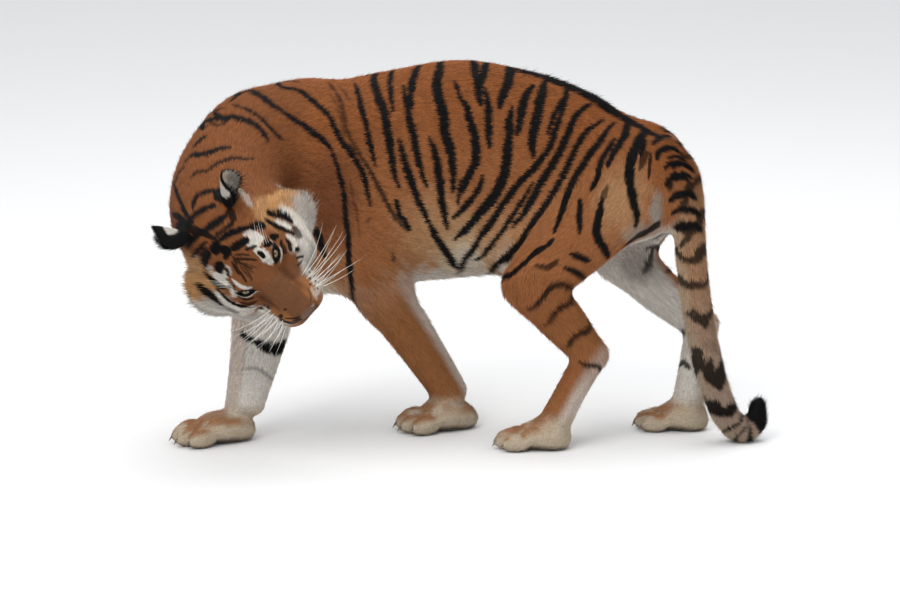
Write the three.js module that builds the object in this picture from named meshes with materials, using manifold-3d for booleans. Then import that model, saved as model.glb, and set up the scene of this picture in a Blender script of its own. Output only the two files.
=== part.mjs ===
// Siberian tiger, adult female in winter coat, life size, in mid stride with the head lowered and turned back over
// the left shoulder. Millimetres, +Z up, the floor at z = 0. The animal faces -X and its left side faces -Y.
// The body is one smooth form, summed from tapered tubes and ovals that are named after what they are, out to the
// tips of the coat. It is meshed region by region and parted with thin cuts.
import * as THREE from 'three';
import { mergeVertices } from 'three/addons/utils/BufferGeometryUtils.js';
import Module from 'manifold-3d';

// ------------------------------------------------------------------ driving dimensions
const TRUNK_AXIS = 638;          // height of the line the trunk's sections are set out from
const CUT = 0.5;                 // width of each thin cut between two neighbouring parts
const EYE_RADIUS = 16.5;         // eyeball
const EYE = { left: [2.5, 52, 3.5], right: [4.5, -59.5, -11] };   // middles of the balls from the middle of the skull: ahead, left, up
const SOCKET_CLEARANCE = 0.5;
const ORIGIN_SHIFT = [-38.9, 13.3];   // brings the middle of the model's box over the origin
const EAR_HEIGHT = 50, EAR_WIDTH = 42, EAR_THICKNESS = 11, EAR_CUP = 14;   // half sizes of an ear with its fur
const CELL = { trunk: 62, neck: 48, head: 19, leg: 38, paw: 23.5, tail: 28 };   // mesh cells

// Trunk, from rump to breast: [x, y, top of back, floor of chest or belly, half width]
const TRUNK = {
  rumpEnd:  [532,  32, 722, 548, 74],
  pelvis:   [452,  74, 782, 490, 118],
  croup:    [358, 116, 847, 433, 142],
  loin:     [250, 147, 892, 402, 158],
  belly:    [ 40, 182, 931, 375, 170],
  ribs:     [-150, 178, 905, 357, 172],
  shoulder: [-330, 134, 872, 342, 156],
  breast:   [-452,  76, 842, 424, 124],
};
// Neck, from withers to nape: [x, y, z, half width, up, down]
const NECK = {
  withers: [-375, 122, 683, 130, 182, 190],
  base:    [-472,  52, 685, 140, 184, 172],
  bend:    [-530, -40, 652, 142, 166, 150],
  crest:   [-543, -136, 612, 138, 144, 138],
  nape:    [-522, -225, 574, 128, 126, 126],
};
// Tail, from root to tip: [x, y, z, radius]
const TAIL = {
  root:  [525,  34, 702, 50],
  set:   [560,   8, 672, 46],
  upper: [581,  -8, 612, 42],
  mid:   [592, -26, 480, 40],
  lower: [610, -33, 340, 39],
  bend:  [650, -35, 160, 38],
  laid:  [692, -24,  62, 36],
  floor: [728, -12,  34, 37],
  rise:  [757,  -2,  50, 32],
  tip:   [766,   0,  88, 22],
};
// Legs: joints as [x, y, z, half width across, ahead, behind]
const FORELEG = {
  left: {
    ahead: [-0.95, -0.31, 0],
    upper: [[-318, 8, 566, 60, 80, 90], [-245, 34, 455, 59, 75, 88], [-165, 66, 348, 55, 64, 74]],
    fore:  [[-165, 66, 348, 55, 62, 72], [-85, 98, 226, 49, 54, 60], [-4, 126, 92, 45, 44, 50]],
    paw: { at: [14, 124], toward: [-0.95, -0.31] },
  },
  right: {
    ahead: [-0.9, -0.44, 0],
    upper: [[-470, 180, 586, 60, 80, 92], [-466, 158, 468, 60, 90, 88], [-460, 138, 345, 57, 96, 86]],
    fore:  [[-460, 138, 345, 57, 96, 86], [-486, 84, 225, 50, 66, 75], [-516, 30, 95, 46, 45, 58]],
    paw: { at: [-542, 6], toward: [-0.93, -0.37] },
  },
};
const HINDLEG = {
  left: {
    ahead: [-0.97, 0.15, 0],
    thigh: [[440, -2, 640, 72, 108, 104], [322, -34, 530, 70, 106, 98], [190, -52, 410, 57, 64, 80]],
    shank: [[190, -52, 410, 56, 60, 80], [266, -52, 322, 48, 54, 66], [346, -54, 232, 38, 42, 46]],
    meta:  [[346, -54, 232, 38, 42, 44], [302, -62, 145, 39, 41, 38], [258, -72, 60, 42, 44, 40]],
    paw: { at: [246, -74], toward: [-0.99, 0.05] },
  },
  right: {
    ahead: [-0.93, 0.36, 0],
    thigh: [[490, 158, 640, 72, 104, 100], [462, 170, 540, 70, 102, 100], [428, 164, 428, 57, 64, 82]],
    shank: [[428, 164, 428, 56, 60, 82], [526, 150, 345, 48, 56, 64], [630, 134, 262, 38, 42, 46]],
    meta:  [[630, 134, 262, 38, 42, 44], [616, 124, 160, 39, 41, 38], [600, 112, 60, 42, 44, 40]],
    paw: { at: [600, 110], toward: [-0.99, 0.12] },
  },
};
// Muscle and fat over the frame: [centre], [ahead, across, up] half sizes, heading
const MUSCLE = {
  shoulderLeft:  [[-296, 26, 680], [108, 62, 160], [-0.88, -0.46, 0.25]],
  shoulderRight: [[-400, 216, 680], [104, 62, 160], [-0.88, -0.46, 0.25]],
  withers:       [[-345, 124, 760], [110, 70, 92], [-0.9, -0.43, 0]],
  buttockLeft:   [[490, -8, 622], [66, 58, 104], [-0.88, 0.47, 0]],
  buttockRight:  [[524, 112, 622], [62, 58, 100], [-0.88, 0.47, 0]],
  hipLeft:       [[415, 34, 690], [112, 66, 88], [-0.88, 0.47, 0]],
  hipRight:      [[480, 150, 690], [102, 62, 86], [-0.88, 0.47, 0]],
  flank:         [[185, 40, 486], [110, 56, 86], [-0.96, 0.2, -0.2]],
};
// Head frame: origin midway between the eyes, nose ahead, left side, crown up
const HEAD = {
  origin: [-451, -340, 513],
  ahead: [0.627, -0.565, -0.536],
  up: [-0.395, -0.826, 0.408],
};
// Head forms in that frame: [centre], [ahead, across, up] half sizes, pitch of the long axis in degrees
const SKULL = {
  cranium:  [[-88, 0, -28], [112, 92, 86], -8],
  forehead: [[-30, 0, -10], [62, 58, 36], -18],
  browL:    [[-12, 40, 2], [34, 26, 20], -25],
  browR:    [[-12, -40, 2], [34, 26, 20], -25],
  cheekL:   [[-34, 90, -64], [84, 60, 70], -12],
  cheekR:   [[-34, -90, -64], [84, 60, 70], -12],
  ruffL:    [[-88, 122, -90], [72, 62, 84], -8],
  ruffR:    [[-88, -122, -90], [72, 62, 84], -8],
  throat:   [[-78, 0, -120], [92, 88, 52], -8],
  jaw:      [[28, 0, -112], [82, 48, 32], -8],
  chin:     [[82, 0, -112], [36, 31, 26], 0],
  lipL:     [[48, 40, -78], [60, 34, 36], -12],
  lipR:     [[48, -40, -78], [60, 34, 36], -12],
  padL:     [[94, 30, -80], [42, 35, 34], -12],
  padR:     [[94, -30, -80], [42, 35, 34], -12],
};
const BRIDGE = [[-20, 0, -26, 46, 34, 34], [40, 0, -36, 42, 32, 40], [92, 0, -50, 40, 29, 40], [118, 0, -60, 36, 26, 36]];
const NOSE = { at: [137, 0, -62], size: [11, 21, 15], pitch: -30 };
const EAR = {
  left:  { at: [-152, 98, 76], up: [-0.38, 0.42, 0.82], face: [0.62, 0.62, 0.0] },
  right: { at: [-184, -104, 80], up: [-0.72, -0.24, 0.65], face: [0.45, -0.72, 0.0] },
};
// Paws in their own frame: origin under the wrist or heel, toes ahead
const PAW = {
  fore: { palm: [[34, 0, 36], [68, 60, 42]], heel: [[-18, 0, 26], [42, 44, 34]], toeX: [92, 112, 112, 92], toeY: [-46, -17, 17, 46], toe: [42, 22, 29], toeZ: 24 },
  hind: { palm: [[28, 0, 33], [60, 51, 38]], heel: [[-14, 0, 24], [40, 40, 32]], toeX: [78, 97, 97, 78], toeY: [-40, -15, 15, 40], toe: [38, 19, 26], toeZ: 22 },
};
const COAT = { trunk: '#b9692f', neck: '#b5652c', head: '#bd7038', leg: '#c07a3f', paw: '#cf9a63', tail: '#ad6a38', ear: '#2a2320', eye: '#8f9a5a', nose: '#a2625a' };

// ------------------------------------------------------------------ small vector helpers
const sub = (a, b) => [a[0] - b[0], a[1] - b[1], a[2] - b[2]];
const dot = (a, b) => a[0] * b[0] + a[1] * b[1] + a[2] * b[2];
const cross = (a, b) => [a[1] * b[2] - a[2] * b[1], a[2] * b[0] - a[0] * b[2], a[0] * b[1] - a[1] * b[0]];
const unit = (a) => { const l = Math.hypot(...a) || 1; return [a[0] / l, a[1] / l, a[2] / l]; };
const at = (o, b, p) => [0, 1, 2].map((i) => o[i] + b[0][i] * p[0] + b[1][i] * p[1] + b[2][i] * p[2]);
const frame = (ahead, up) => { const x = unit(ahead); const y = unit(cross(up, x)); return [x, y, cross(x, y)]; };
const turn = (b, v) => unit([0, 1, 2].map((i) => b[0][i] * v[0] + b[1][i] * v[1] + b[2][i] * v[2]));
const smin = (a, b, k) => { const h = Math.max(k - Math.abs(a - b), 0) / k; return Math.min(a, b) - h * h * k * 0.25; };
const ramp = (a, b, x) => { const t = Math.min(Math.max((x - a) / (b - a), 0), 1); return t * t * (3 - 2 * t); };

// ------------------------------------------------------------------ forms
// A tapered tube along a smooth line, flattened across or up by its own half sizes
function tube(stations, ref, steps = 20, n = 2.2) {
  const line = new THREE.CatmullRomCurve3(stations.map((s) => new THREE.Vector3(s[0], s[1], s[2])), false, 'centripetal');
  const sizes = [3, 4, 5].map((c) => new THREE.CatmullRomCurve3(stations.map((s, i) => new THREE.Vector3(i * 100, s[c], 0)), false, 'catmullrom', 0.5));
  const P = [], S = [], U = [], T = [], R = [];
  for (let i = 0; i <= steps; i++) {
    const t = i / steps;
    const p = line.getPoint(t).toArray();
    const d = unit(line.getTangent(t).toArray());
    const s = unit(cross(ref, d));
    P.push(p); T.push(d); S.push(s); U.push(cross(d, s));
    R.push(sizes.map((c) => c.getPoint(t).y));
  }
  let c = [0, 0, 0];
  P.forEach((p) => { c = [c[0] + p[0] / P.length, c[1] + p[1] / P.length, c[2] + p[2] / P.length]; });
  const reach = Math.max(...P.map((p, i) => Math.hypot(...sub(p, c)) + Math.max(...R[i])));
  const value = (p) => {
    let best = Infinity, bi = 0, bt = 0;
    for (let i = 0; i < steps; i++) {
      const a = P[i], e = sub(P[i + 1], a), q = sub(p, a);
      const t = Math.min(Math.max(dot(q, e) / dot(e, e), 0), 1);
      const dx = q[0] - e[0] * t, dy = q[1] - e[1] * t, dz = q[2] - e[2] * t;
      const d2 = dx * dx + dy * dy + dz * dz;
      if (d2 < best) { best = d2; bi = i; bt = t; }
    }
    const mix = (A) => { const a = A[bi], b = A[bi + 1]; return a.map((v, k) => v + (b[k] - v) * bt); };
    const q = sub(p, mix(P)), s = unit(mix(S)), u = unit(mix(U)), d = unit(mix(T)), r = mix(R);
    const a = dot(q, s), b = dot(q, u), l = dot(q, d);
    const w = r[0], h = b > 0 ? r[1] : r[2], e = r[0] * 0.42 + (r[1] + r[2]) * 0.21;
    return oval(a, b, l, w, h, e, n);
  };
  return { c, reach, value };
}
function oval(a, b, l, w, h, e, n) {
  const x = Math.abs(a / w), y = Math.abs(b / h), z = Math.abs(l / e);
  const k0 = n === 2 ? Math.sqrt(x * x + y * y + z * z) : (x ** n + y ** n + z ** n) ** (1 / n);
  const k2 = Math.sqrt(x * x + y * y + z * z), k1 = Math.hypot(x / w, y / h, z / e);
  return k1 < 1e-9 ? -Math.min(w, h, e) : (k0 - 1) * k2 / k1;
}
function blob(c, r, basis, n = 2) {
  const reach = Math.max(...r);
  return { c, reach, value: (p) => { const q = sub(p, c); return oval(dot(q, basis[1]), dot(q, basis[2]), dot(q, basis[0]), r[1], r[2], r[0], n); } };
}
// Sum of forms, each with the width of its blend
function sum(items, p, start = Infinity) {
  let f = start;
  for (const [form, k] of items) {
    const far = Math.hypot(p[0] - form.c[0], p[1] - form.c[1], p[2] - form.c[2]) - form.reach;
    if (far > f + k && far > 0) continue;
    const v = form.value(p);
    f = f === Infinity ? v : smin(f, v, k);
  }
  return f;
}

const Z = [0, 0, 1];
const trunkForms = [
  [tube(Object.values(TRUNK).map(([x, y, top, low, w]) => [x, y, TRUNK_AXIS, w, top - TRUNK_AXIS, TRUNK_AXIS - low]), Z, 30, 2.25), 1],
];
for (const [c, r, dir] of Object.values(MUSCLE)) trunkForms.push([blob(c, r, frame(dir, Z)), 70]);
for (const leg of Object.values(FORELEG)) trunkForms.push([tube(leg.upper, leg.ahead, 10), 70]);
for (const leg of Object.values(HINDLEG)) trunkForms.push([tube(leg.thigh, leg.ahead, 12), 64]);
const neckForms = [[tube(Object.values(NECK), Z, 20, 2.1), 90]];
const tailForms = [[tube(Object.values(TAIL).map(([x, y, z, r]) => [x, y, z, r, r, r]), [0, 1, 0], 44, 2), 46]];
const legForms = [];
const toes = [];
function paw({ at: [x, y], toward }, kind, k) {
  const g = PAW[kind], b = frame([toward[0], toward[1], 0], Z), o = [x, y, 0];
  const forms = [[blob(at(o, b, g.palm[0]), g.palm[1], b), k], [blob(at(o, b, g.heel[0]), g.heel[1], b), 24]];
  g.toeX.forEach((tx, i) => forms.push([blob(at(o, b, [tx, g.toeY[i], g.toeZ]), g.toe, frame(turn(b, [1, g.toeY[i] / 260, -0.1]), Z)), 9]));
  toes.push({ o, b, kind });
  return forms;
}
for (const leg of Object.values(FORELEG)) legForms.push([tube(leg.fore, leg.ahead, 12), 34], ...paw(leg.paw, 'fore', 34));
for (const leg of Object.values(HINDLEG)) legForms.push([tube(leg.shank, leg.ahead, 12), 36], [tube(leg.meta, leg.ahead, 10), 22], ...paw(leg.paw, 'hind', 30));
const headBasis = frame(HEAD.ahead, HEAD.up);
const tilt = (deg) => { const a = THREE.MathUtils.degToRad(deg); return frame(turn(headBasis, [Math.cos(a), 0, Math.sin(a)]), headBasis[2]); };
const headForms = Object.values(SKULL).map(([c, r, deg]) => [blob(at(HEAD.origin, headBasis, c), r, tilt(deg)), 30]);
headForms.splice(4, 0, [tube(BRIDGE.map(([x, y, z, ...r]) => [...at(HEAD.origin, headBasis, [x, y, z]), ...r]), headBasis[2], 12, 2.5), 26]);
const headCentre = at(HEAD.origin, headBasis, [-60, 0, -40]);

// The whole coat surface: below zero inside
function coat(p) {
  const head = sum(headForms, p);
  const near = Math.hypot(p[0] - headCentre[0], p[1] - headCentre[1], p[2] - headCentre[2]);
  const neck = sum(neckForms, p);
  const front = smin(head, neck, 60);
  let body = sum(trunkForms, p);
  body = smin(body, front, 4 + 86 * ramp(210, 330, near));
  body = sum(tailForms, p, body);
  body = sum(legForms, p, body);
  return body;
}

// ------------------------------------------------------------------ meshing
const wasm = await Module();
wasm.setup();
const solidOf = (geometry) => {
  const g = geometry.clone().toNonIndexed();
  g.deleteAttribute('normal'); g.deleteAttribute('uv');
  const m = mergeVertices(g, 1e-4);
  return new wasm.Manifold(new wasm.Mesh({ numProp: 3, vertProperties: new Float32Array(m.attributes.position.array), triVerts: new Uint32Array(m.index.array) }));
};
const geometryOf = (solid) => {
  const m = solid.getMesh();
  const pos = new Float32Array(m.numVert * 3);
  for (let i = 0; i < m.numVert; i++) for (let k = 0; k < 3; k++) pos[i * 3 + k] = m.vertProperties[i * m.numProp + k];
  const g = new THREE.BufferGeometry();
  g.setAttribute('position', new THREE.BufferAttribute(pos, 3));
  g.setIndex(new THREE.BufferAttribute(new Uint32Array(m.triVerts), 1));
  g.computeVertexNormals();
  return g;
};
// Closed mesh of field f inside a box: one point in each cell the surface crosses, one face for each crossed edge
function skin(f, lo, hi, h, shift) {
  const n = [0, 1, 2].map((i) => Math.ceil((hi[i] - lo[i]) / h) + 1);
  const o = lo.map((v) => v - h * shift);
  const inside = (p) => Math.max(f(p), ...[0, 1, 2].map((i) => Math.max(lo[i] - p[i], p[i] - hi[i])));
  const id = (i, j, k) => (k * n[1] + j) * n[0] + i;
  const V = new Float32Array(n[0] * n[1] * n[2]);
  for (let k = 0; k < n[2]; k++) for (let j = 0; j < n[1]; j++) for (let i = 0; i < n[0]; i++) {
    const edge = !i || !j || !k || i === n[0] - 1 || j === n[1] - 1 || k === n[2] - 1;
    V[id(i, j, k)] = edge ? h : inside([o[0] + i * h, o[1] + j * h, o[2] + k * h]) || 1e-6;
  }
  const cell = new Int32Array(V.length).fill(-1), pts = [], idx = [];
  for (let k = 0; k < n[2] - 1; k++) for (let j = 0; j < n[1] - 1; j++) for (let i = 0; i < n[0] - 1; i++) {
    let c = [0, 0, 0], m = 0;
    for (let e = 0; e < 12; e++) {
      const ax = e >> 2, u = e & 1, v = (e >> 1) & 1;
      const a = [i, j, k]; a[(ax + 1) % 3] += u; a[(ax + 2) % 3] += v;
      const b = [...a]; b[ax] += 1;
      const fa = V[id(...a)], fb = V[id(...b)];
      if ((fa < 0) === (fb < 0)) continue;
      const t = fa / (fa - fb);
      for (let q = 0; q < 3; q++) c[q] += a[q] + (b[q] - a[q]) * t;
      m++;
    }
    if (!m) continue;
    let p = c.map((v, q) => o[q] + v / m * h);
    for (let pass = 0; pass < 2; pass++) {            // settle each point on the surface
      const d = 0.6, g = [0, 1, 2].map((q) => { const a = [...p], b = [...p]; a[q] -= d; b[q] += d; return (inside(b) - inside(a)) / (2 * d); });
      const s = inside(p) / Math.max(dot(g, g), 0.2);
      const move = Math.min(Math.max(s, -h * 0.3), h * 0.3);
      p = p.map((v, q) => v - g[q] * move);
    }
    cell[id(i, j, k)] = pts.length / 3;
    pts.push(...p);
  }
  for (let k = 0; k < n[2] - 1; k++) for (let j = 0; j < n[1] - 1; j++) for (let i = 0; i < n[0] - 1; i++) for (let ax = 0; ax < 3; ax++) {
    const a = [i, j, k], b = [i, j, k]; b[ax] += 1;
    if (a[(ax + 1) % 3] < 1 || a[(ax + 2) % 3] < 1) continue;
    const fa = V[id(...a)], fb = V[id(...b)];
    if ((fa < 0) === (fb < 0)) continue;
    const u = (ax + 1) % 3, v = (ax + 2) % 3;
    const at4 = [[0, 0], [-1, 0], [-1, -1], [0, -1]].map(([s, t]) => { const c = [i, j, k]; c[u] += s; c[v] += t; return cell[id(...c)]; });
    if (at4.some((q) => q < 0)) continue;
    const q = fa < 0 ? at4 : at4.slice().reverse();
    const d = (m, w) => Math.hypot(pts[m * 3] - pts[w * 3], pts[m * 3 + 1] - pts[w * 3 + 1], pts[m * 3 + 2] - pts[w * 3 + 2]);
    if (d(q[0], q[2]) <= d(q[1], q[3])) idx.push(q[0], q[1], q[2], q[0], q[2], q[3]);
    else idx.push(q[0], q[1], q[3], q[1], q[2], q[3]);
  }
  return new wasm.Manifold(new wasm.Mesh({ numProp: 3, vertProperties: new Float32Array(pts), triVerts: new Uint32Array(idx) }));
}
function meshed(f, lo, hi, h) {
  for (const shift of [0.5, 0.37, 0.63, 0.21, 0.79, 0.11, 0.9]) {
    try { return skin(f, lo, hi, h, shift); } catch (e) { continue; }
  }
  throw new Error('a region of the body did not close');
}
const away = (seed) => (a, b) => {
  const gap = (m) => { const q = m.boundingBox(); return Math.hypot(...[0, 1, 2].map((i) => Math.max(q.min[i] - seed[i], seed[i] - q.max[i], 0))); };
  return gap(a) - gap(b) || b.volume() - a.volume();
};
// Box from lo to hi, grown by a margin
const block = (lo, hi, grow = 0) => {
  const g = new THREE.BoxGeometry(...[0, 1, 2].map((i) => hi[i] - lo[i] + 2 * grow));
  g.translate(...[0, 1, 2].map((i) => (hi[i] + lo[i]) / 2));
  return solidOf(g);
};
// Trims a solid to the seed's side of each plane, short of it by gap
const trimmed = (solid, planes, seed, gap) => planes.reduce((m, { point, normal }) => {
  const n = unit(normal), keep = n.map((v) => v * (Math.sign(dot(sub(seed, point), n)) || 1));
  return m.trimByPlane(keep, dot(point, keep) + gap);
}, solid);
// The part of the body inside an area, above the floor: the piece nearest the area's seed
function region({ lo, hi, cell, planes, seed }) {
  const clear = 9;
  let part = meshed(coat, lo.map((v) => v - clear), hi.map((v) => v + clear), cell).trimByPlane([0, 0, 1], 0);
  part = trimmed(part, planes, seed, CUT / 2).intersect(block(lo, hi));
  return part.decompose().sort(away(seed))[0];
}
// What an area takes away from the trunk
const taken = ({ lo, hi, planes, seed }) => trimmed(block(lo, hi, CUT), planes, seed, -CUT / 2);

// The same solid with every point moved out along its normal
function swollen(solid, by) {
  const g = geometryOf(solid), p = g.attributes.position, n = g.attributes.normal;
  for (let i = 0; i < p.count; i++) p.setXYZ(i, p.getX(i) + n.getX(i) * by, p.getY(i) + n.getY(i) * by, p.getZ(i) + n.getZ(i) * by);
  return new wasm.Manifold(new wasm.Mesh({ numProp: 3, vertProperties: new Float32Array(p.array), triVerts: new Uint32Array(g.index.array) }));
}

// ------------------------------------------------------------------ the thin cuts
const headPoint = (p) => at(HEAD.origin, headBasis, p);
const CUTS = {
  head:      { point: headPoint([-158, 0, -60]), normal: turn(headBasis, [1, 0, -0.05]) },
  neck:      { point: [-448, 62, 640], normal: [0.7, 0.55, -0.45] },
  tailTop:   { point: [560, 8, 652], normal: [0, 0, -1] },
  tailSide:  { point: [557, 13, 560], normal: [0.79, -0.61, 0] },
  tailMid:   { point: [600, -28, 402], normal: [0.05, 0, -1] },
  tailLow:   { point: [655, -34, 152], normal: [0.25, 0.05, -1] },
  foreLeft:  { point: [-165, 78, 334], normal: [0.1, 0, -1] },
  foreRight: { point: [-461, 134, 304], normal: [0, 0, -1] },
  hindLeft:  { point: [280, -40, 478], normal: [-0.12, 0.05, -1] },
  hindLeftSide: { point: [300, 12, 500], normal: [-0.1, -1, 0] },
  hindRight: { point: [428, 164, 445], normal: [0.55, 0, -0.83] },
  wrist:     { point: [0, 0, 92], normal: [0, 0, -1] },
  heel:      { point: [0, 0, 92], normal: [0, 0, -1] },
};
const pawArea = (leg, cut) => {
  const [x, y] = leg.paw.at, c = [x + leg.paw.toward[0] * 40, y + leg.paw.toward[1] * 40];
  return { lo: [c[0] - 150, c[1] - 130, -30], hi: [c[0] + 140, c[1] + 130, 120], cell: CELL.paw, planes: [cut], seed: [c[0], c[1], 30] };
};
const AREAS = {
  neck:          { lo: [-760, -440, 360], hi: [-230, 340, 960], cell: CELL.neck, planes: [CUTS.head, CUTS.neck], seed: NECK.bend.slice(0, 3) },
  head:          { lo: [-730, -540, 270], hi: [-220, -60, 780], cell: CELL.head, planes: [CUTS.head], seed: headPoint([-40, 0, -40]) },
  tail_root:     { lo: [541, -150, 380], hi: [860, 90, 700], cell: CELL.tail, planes: [CUTS.tailTop, CUTS.tailSide, CUTS.tailMid], seed: TAIL.mid.slice(0, 3) },
  tail_middle:   { lo: [520, -130, 130], hi: [760, 60, 430], cell: CELL.tail, planes: [CUTS.tailMid, CUTS.tailLow], seed: [630, -34, 260] },
  tail_tip:      { lo: [580, -130, -30], hi: [860, 60, 190], cell: CELL.tail - 2.6, planes: [CUTS.tailLow], seed: TAIL.floor.slice(0, 3) },
  foreleg_left:  { lo: [-262, -60, 60], hi: [120, 260, 400], cell: CELL.leg, planes: [CUTS.foreLeft, CUTS.wrist], seed: FORELEG.left.fore[1].slice(0, 3) },
  foreleg_right: { lo: [-640, -80, 60], hi: [-330, 260, 400], cell: CELL.leg, planes: [CUTS.foreRight, CUTS.wrist], seed: FORELEG.right.fore[1].slice(0, 3) },
  hindleg_left:  { lo: [60, -220, 60], hi: [520, 130, 560], cell: CELL.leg, planes: [CUTS.hindLeft, CUTS.hindLeftSide, CUTS.heel], seed: HINDLEG.left.shank[1].slice(0, 3) },
  hindleg_right: { lo: [330, 20, 60], hi: [760, 320, 560], cell: CELL.leg, planes: [CUTS.hindRight, CUTS.heel], seed: HINDLEG.right.shank[1].slice(0, 3) },
  forepaw_left:  pawArea(FORELEG.left, CUTS.wrist),
  forepaw_right: pawArea(FORELEG.right, CUTS.wrist),
  hindpaw_left:  pawArea(HINDLEG.left, CUTS.heel),
  hindpaw_right: pawArea(HINDLEG.right, CUTS.heel),
};
const PAINT = { neck: COAT.neck, head: COAT.head, tail_root: COAT.tail, tail_middle: COAT.tail, tail_tip: '#2b211c' };

const solids = {};
// Trunk: the whole body less what the neck, the tail and the legs take
{
  let body = meshed(coat, [-600, -150, 260], [640, 420, 960], CELL.trunk);
  const side = unit(CUTS.neck.normal);
  body = body.trimByPlane(side, dot(CUTS.neck.point, side) + CUT / 2);
  const tail = { ...AREAS.tail_root, lo: [541, -150, 200], planes: [CUTS.tailTop, CUTS.tailSide] };
  for (const area of [tail, AREAS.foreleg_left, AREAS.foreleg_right, AREAS.hindleg_left, AREAS.hindleg_right]) body = body.subtract(taken(area));
  solids.trunk = [body.decompose().sort((a, b) => b.volume() - a.volume())[0], COAT.trunk];
}
for (const [name, area] of Object.entries(AREAS)) solids[name] = [region(area), PAINT[name] ?? (name.includes('paw') ? COAT.paw : COAT.leg)];
let head = solids.head[0];

// Eyes: each ball is seated so that a little of it stands out of the coat, in a socket of its own
const ball = (r, c, wide, high) => { const g = new THREE.SphereGeometry(r, wide, high); g.translate(...c); return solidOf(g); };
for (const [side, place] of Object.entries(EYE)) {
  const name = `eye_${side}`, c = headPoint(place);
  solids[name] = [ball(EYE_RADIUS, c, 12, 8), COAT.eye, 0.15];
  head = head.subtract(ball(EYE_RADIUS + SOCKET_CLEARANCE, c, 12, 8));
}
head = head.decompose().sort((a, b) => b.volume() - a.volume())[0];
solids.head = [head, COAT.head];
const grown = swollen(head, 0.8), neckGrown = swollen(solids.neck[0], 2);
// Ears: round cups, hollowed on the side they face
for (const [name, e] of Object.entries(EAR)) {
  const b = frame(turn(headBasis, e.face), turn(headBasis, e.up));      // ahead: the way the ear faces
  const g = new THREE.SphereGeometry(1, 14, 8);
  g.rotateX(Math.PI / 2);
  const p = g.attributes.position;
  for (let i = 0; i < p.count; i++) {
    const x = p.getX(i), y = p.getY(i), z = p.getZ(i);
    const cup = EAR_CUP * (1 - y * y) * (0.4 + 0.6 * (z + 1) / 2);       // the middle sits back from the rim
    const taper = 1 - 0.16 * z;
    p.setXYZ(i, x * EAR_THICKNESS - cup, y * EAR_WIDTH * taper, z * EAR_HEIGHT);
  }
  g.applyMatrix4(new THREE.Matrix4().makeBasis(...b.map((v) => new THREE.Vector3(...v))));
  g.translate(...headPoint(e.at));
  const ear = solidOf(g).subtract(grown).subtract(neckGrown);
  solids['ear_' + name] = [ear.decompose().sort((a, c) => c.volume() - a.volume())[0], COAT.ear];
}
// Nose leather
{
  const g = new THREE.SphereGeometry(1, 12, 8);
  g.scale(...NOSE.size);
  g.applyMatrix4(new THREE.Matrix4().makeBasis(...tilt(NOSE.pitch).map((v) => new THREE.Vector3(...v))));
  g.translate(...headPoint(NOSE.at));
  solids.nose = [solidOf(g).subtract(grown).decompose().sort((a, c) => c.volume() - a.volume())[0], COAT.nose, 0.5];
}

// ------------------------------------------------------------------ the scene graph
const group = new THREE.Group();
for (const [name, [solid, colour, roughness = 0.95]] of Object.entries(solids)) {
  const mesh = new THREE.Mesh(geometryOf(solid), new THREE.MeshStandardMaterial({ color: colour, roughness, metalness: 0 }));
  mesh.name = name;
  group.add(mesh);
}
group.position.set(ORIGIN_SHIFT[0], ORIGIN_SHIFT[1], 0);
group.updateMatrixWorld(true);

export default group;
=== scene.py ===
import math

import bpy
import numpy as np
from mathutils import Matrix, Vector


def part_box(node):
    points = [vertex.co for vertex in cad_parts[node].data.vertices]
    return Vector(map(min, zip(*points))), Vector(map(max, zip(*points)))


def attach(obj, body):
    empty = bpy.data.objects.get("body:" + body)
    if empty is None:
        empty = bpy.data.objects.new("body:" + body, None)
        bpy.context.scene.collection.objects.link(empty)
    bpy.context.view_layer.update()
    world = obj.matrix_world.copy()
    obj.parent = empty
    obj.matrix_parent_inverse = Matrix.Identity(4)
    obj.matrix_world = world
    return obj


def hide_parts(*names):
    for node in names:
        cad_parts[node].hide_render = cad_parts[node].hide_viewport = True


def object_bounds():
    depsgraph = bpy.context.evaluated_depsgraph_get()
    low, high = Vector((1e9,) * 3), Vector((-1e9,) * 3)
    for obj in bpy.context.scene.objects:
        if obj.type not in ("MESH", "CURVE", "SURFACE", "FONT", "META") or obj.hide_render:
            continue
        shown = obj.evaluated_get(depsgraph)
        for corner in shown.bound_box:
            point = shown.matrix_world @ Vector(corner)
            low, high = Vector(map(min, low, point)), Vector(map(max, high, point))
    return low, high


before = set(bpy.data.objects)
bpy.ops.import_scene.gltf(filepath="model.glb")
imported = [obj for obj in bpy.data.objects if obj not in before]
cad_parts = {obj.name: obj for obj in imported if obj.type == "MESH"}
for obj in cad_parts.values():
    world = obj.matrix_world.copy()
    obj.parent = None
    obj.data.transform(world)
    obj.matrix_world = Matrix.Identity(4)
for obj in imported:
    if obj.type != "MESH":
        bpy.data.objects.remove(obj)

CAD_BOX = [list(c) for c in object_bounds()]
CELL = 7.0          # the skin's cell
THIN = 1.0         # share of the tufts


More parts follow.
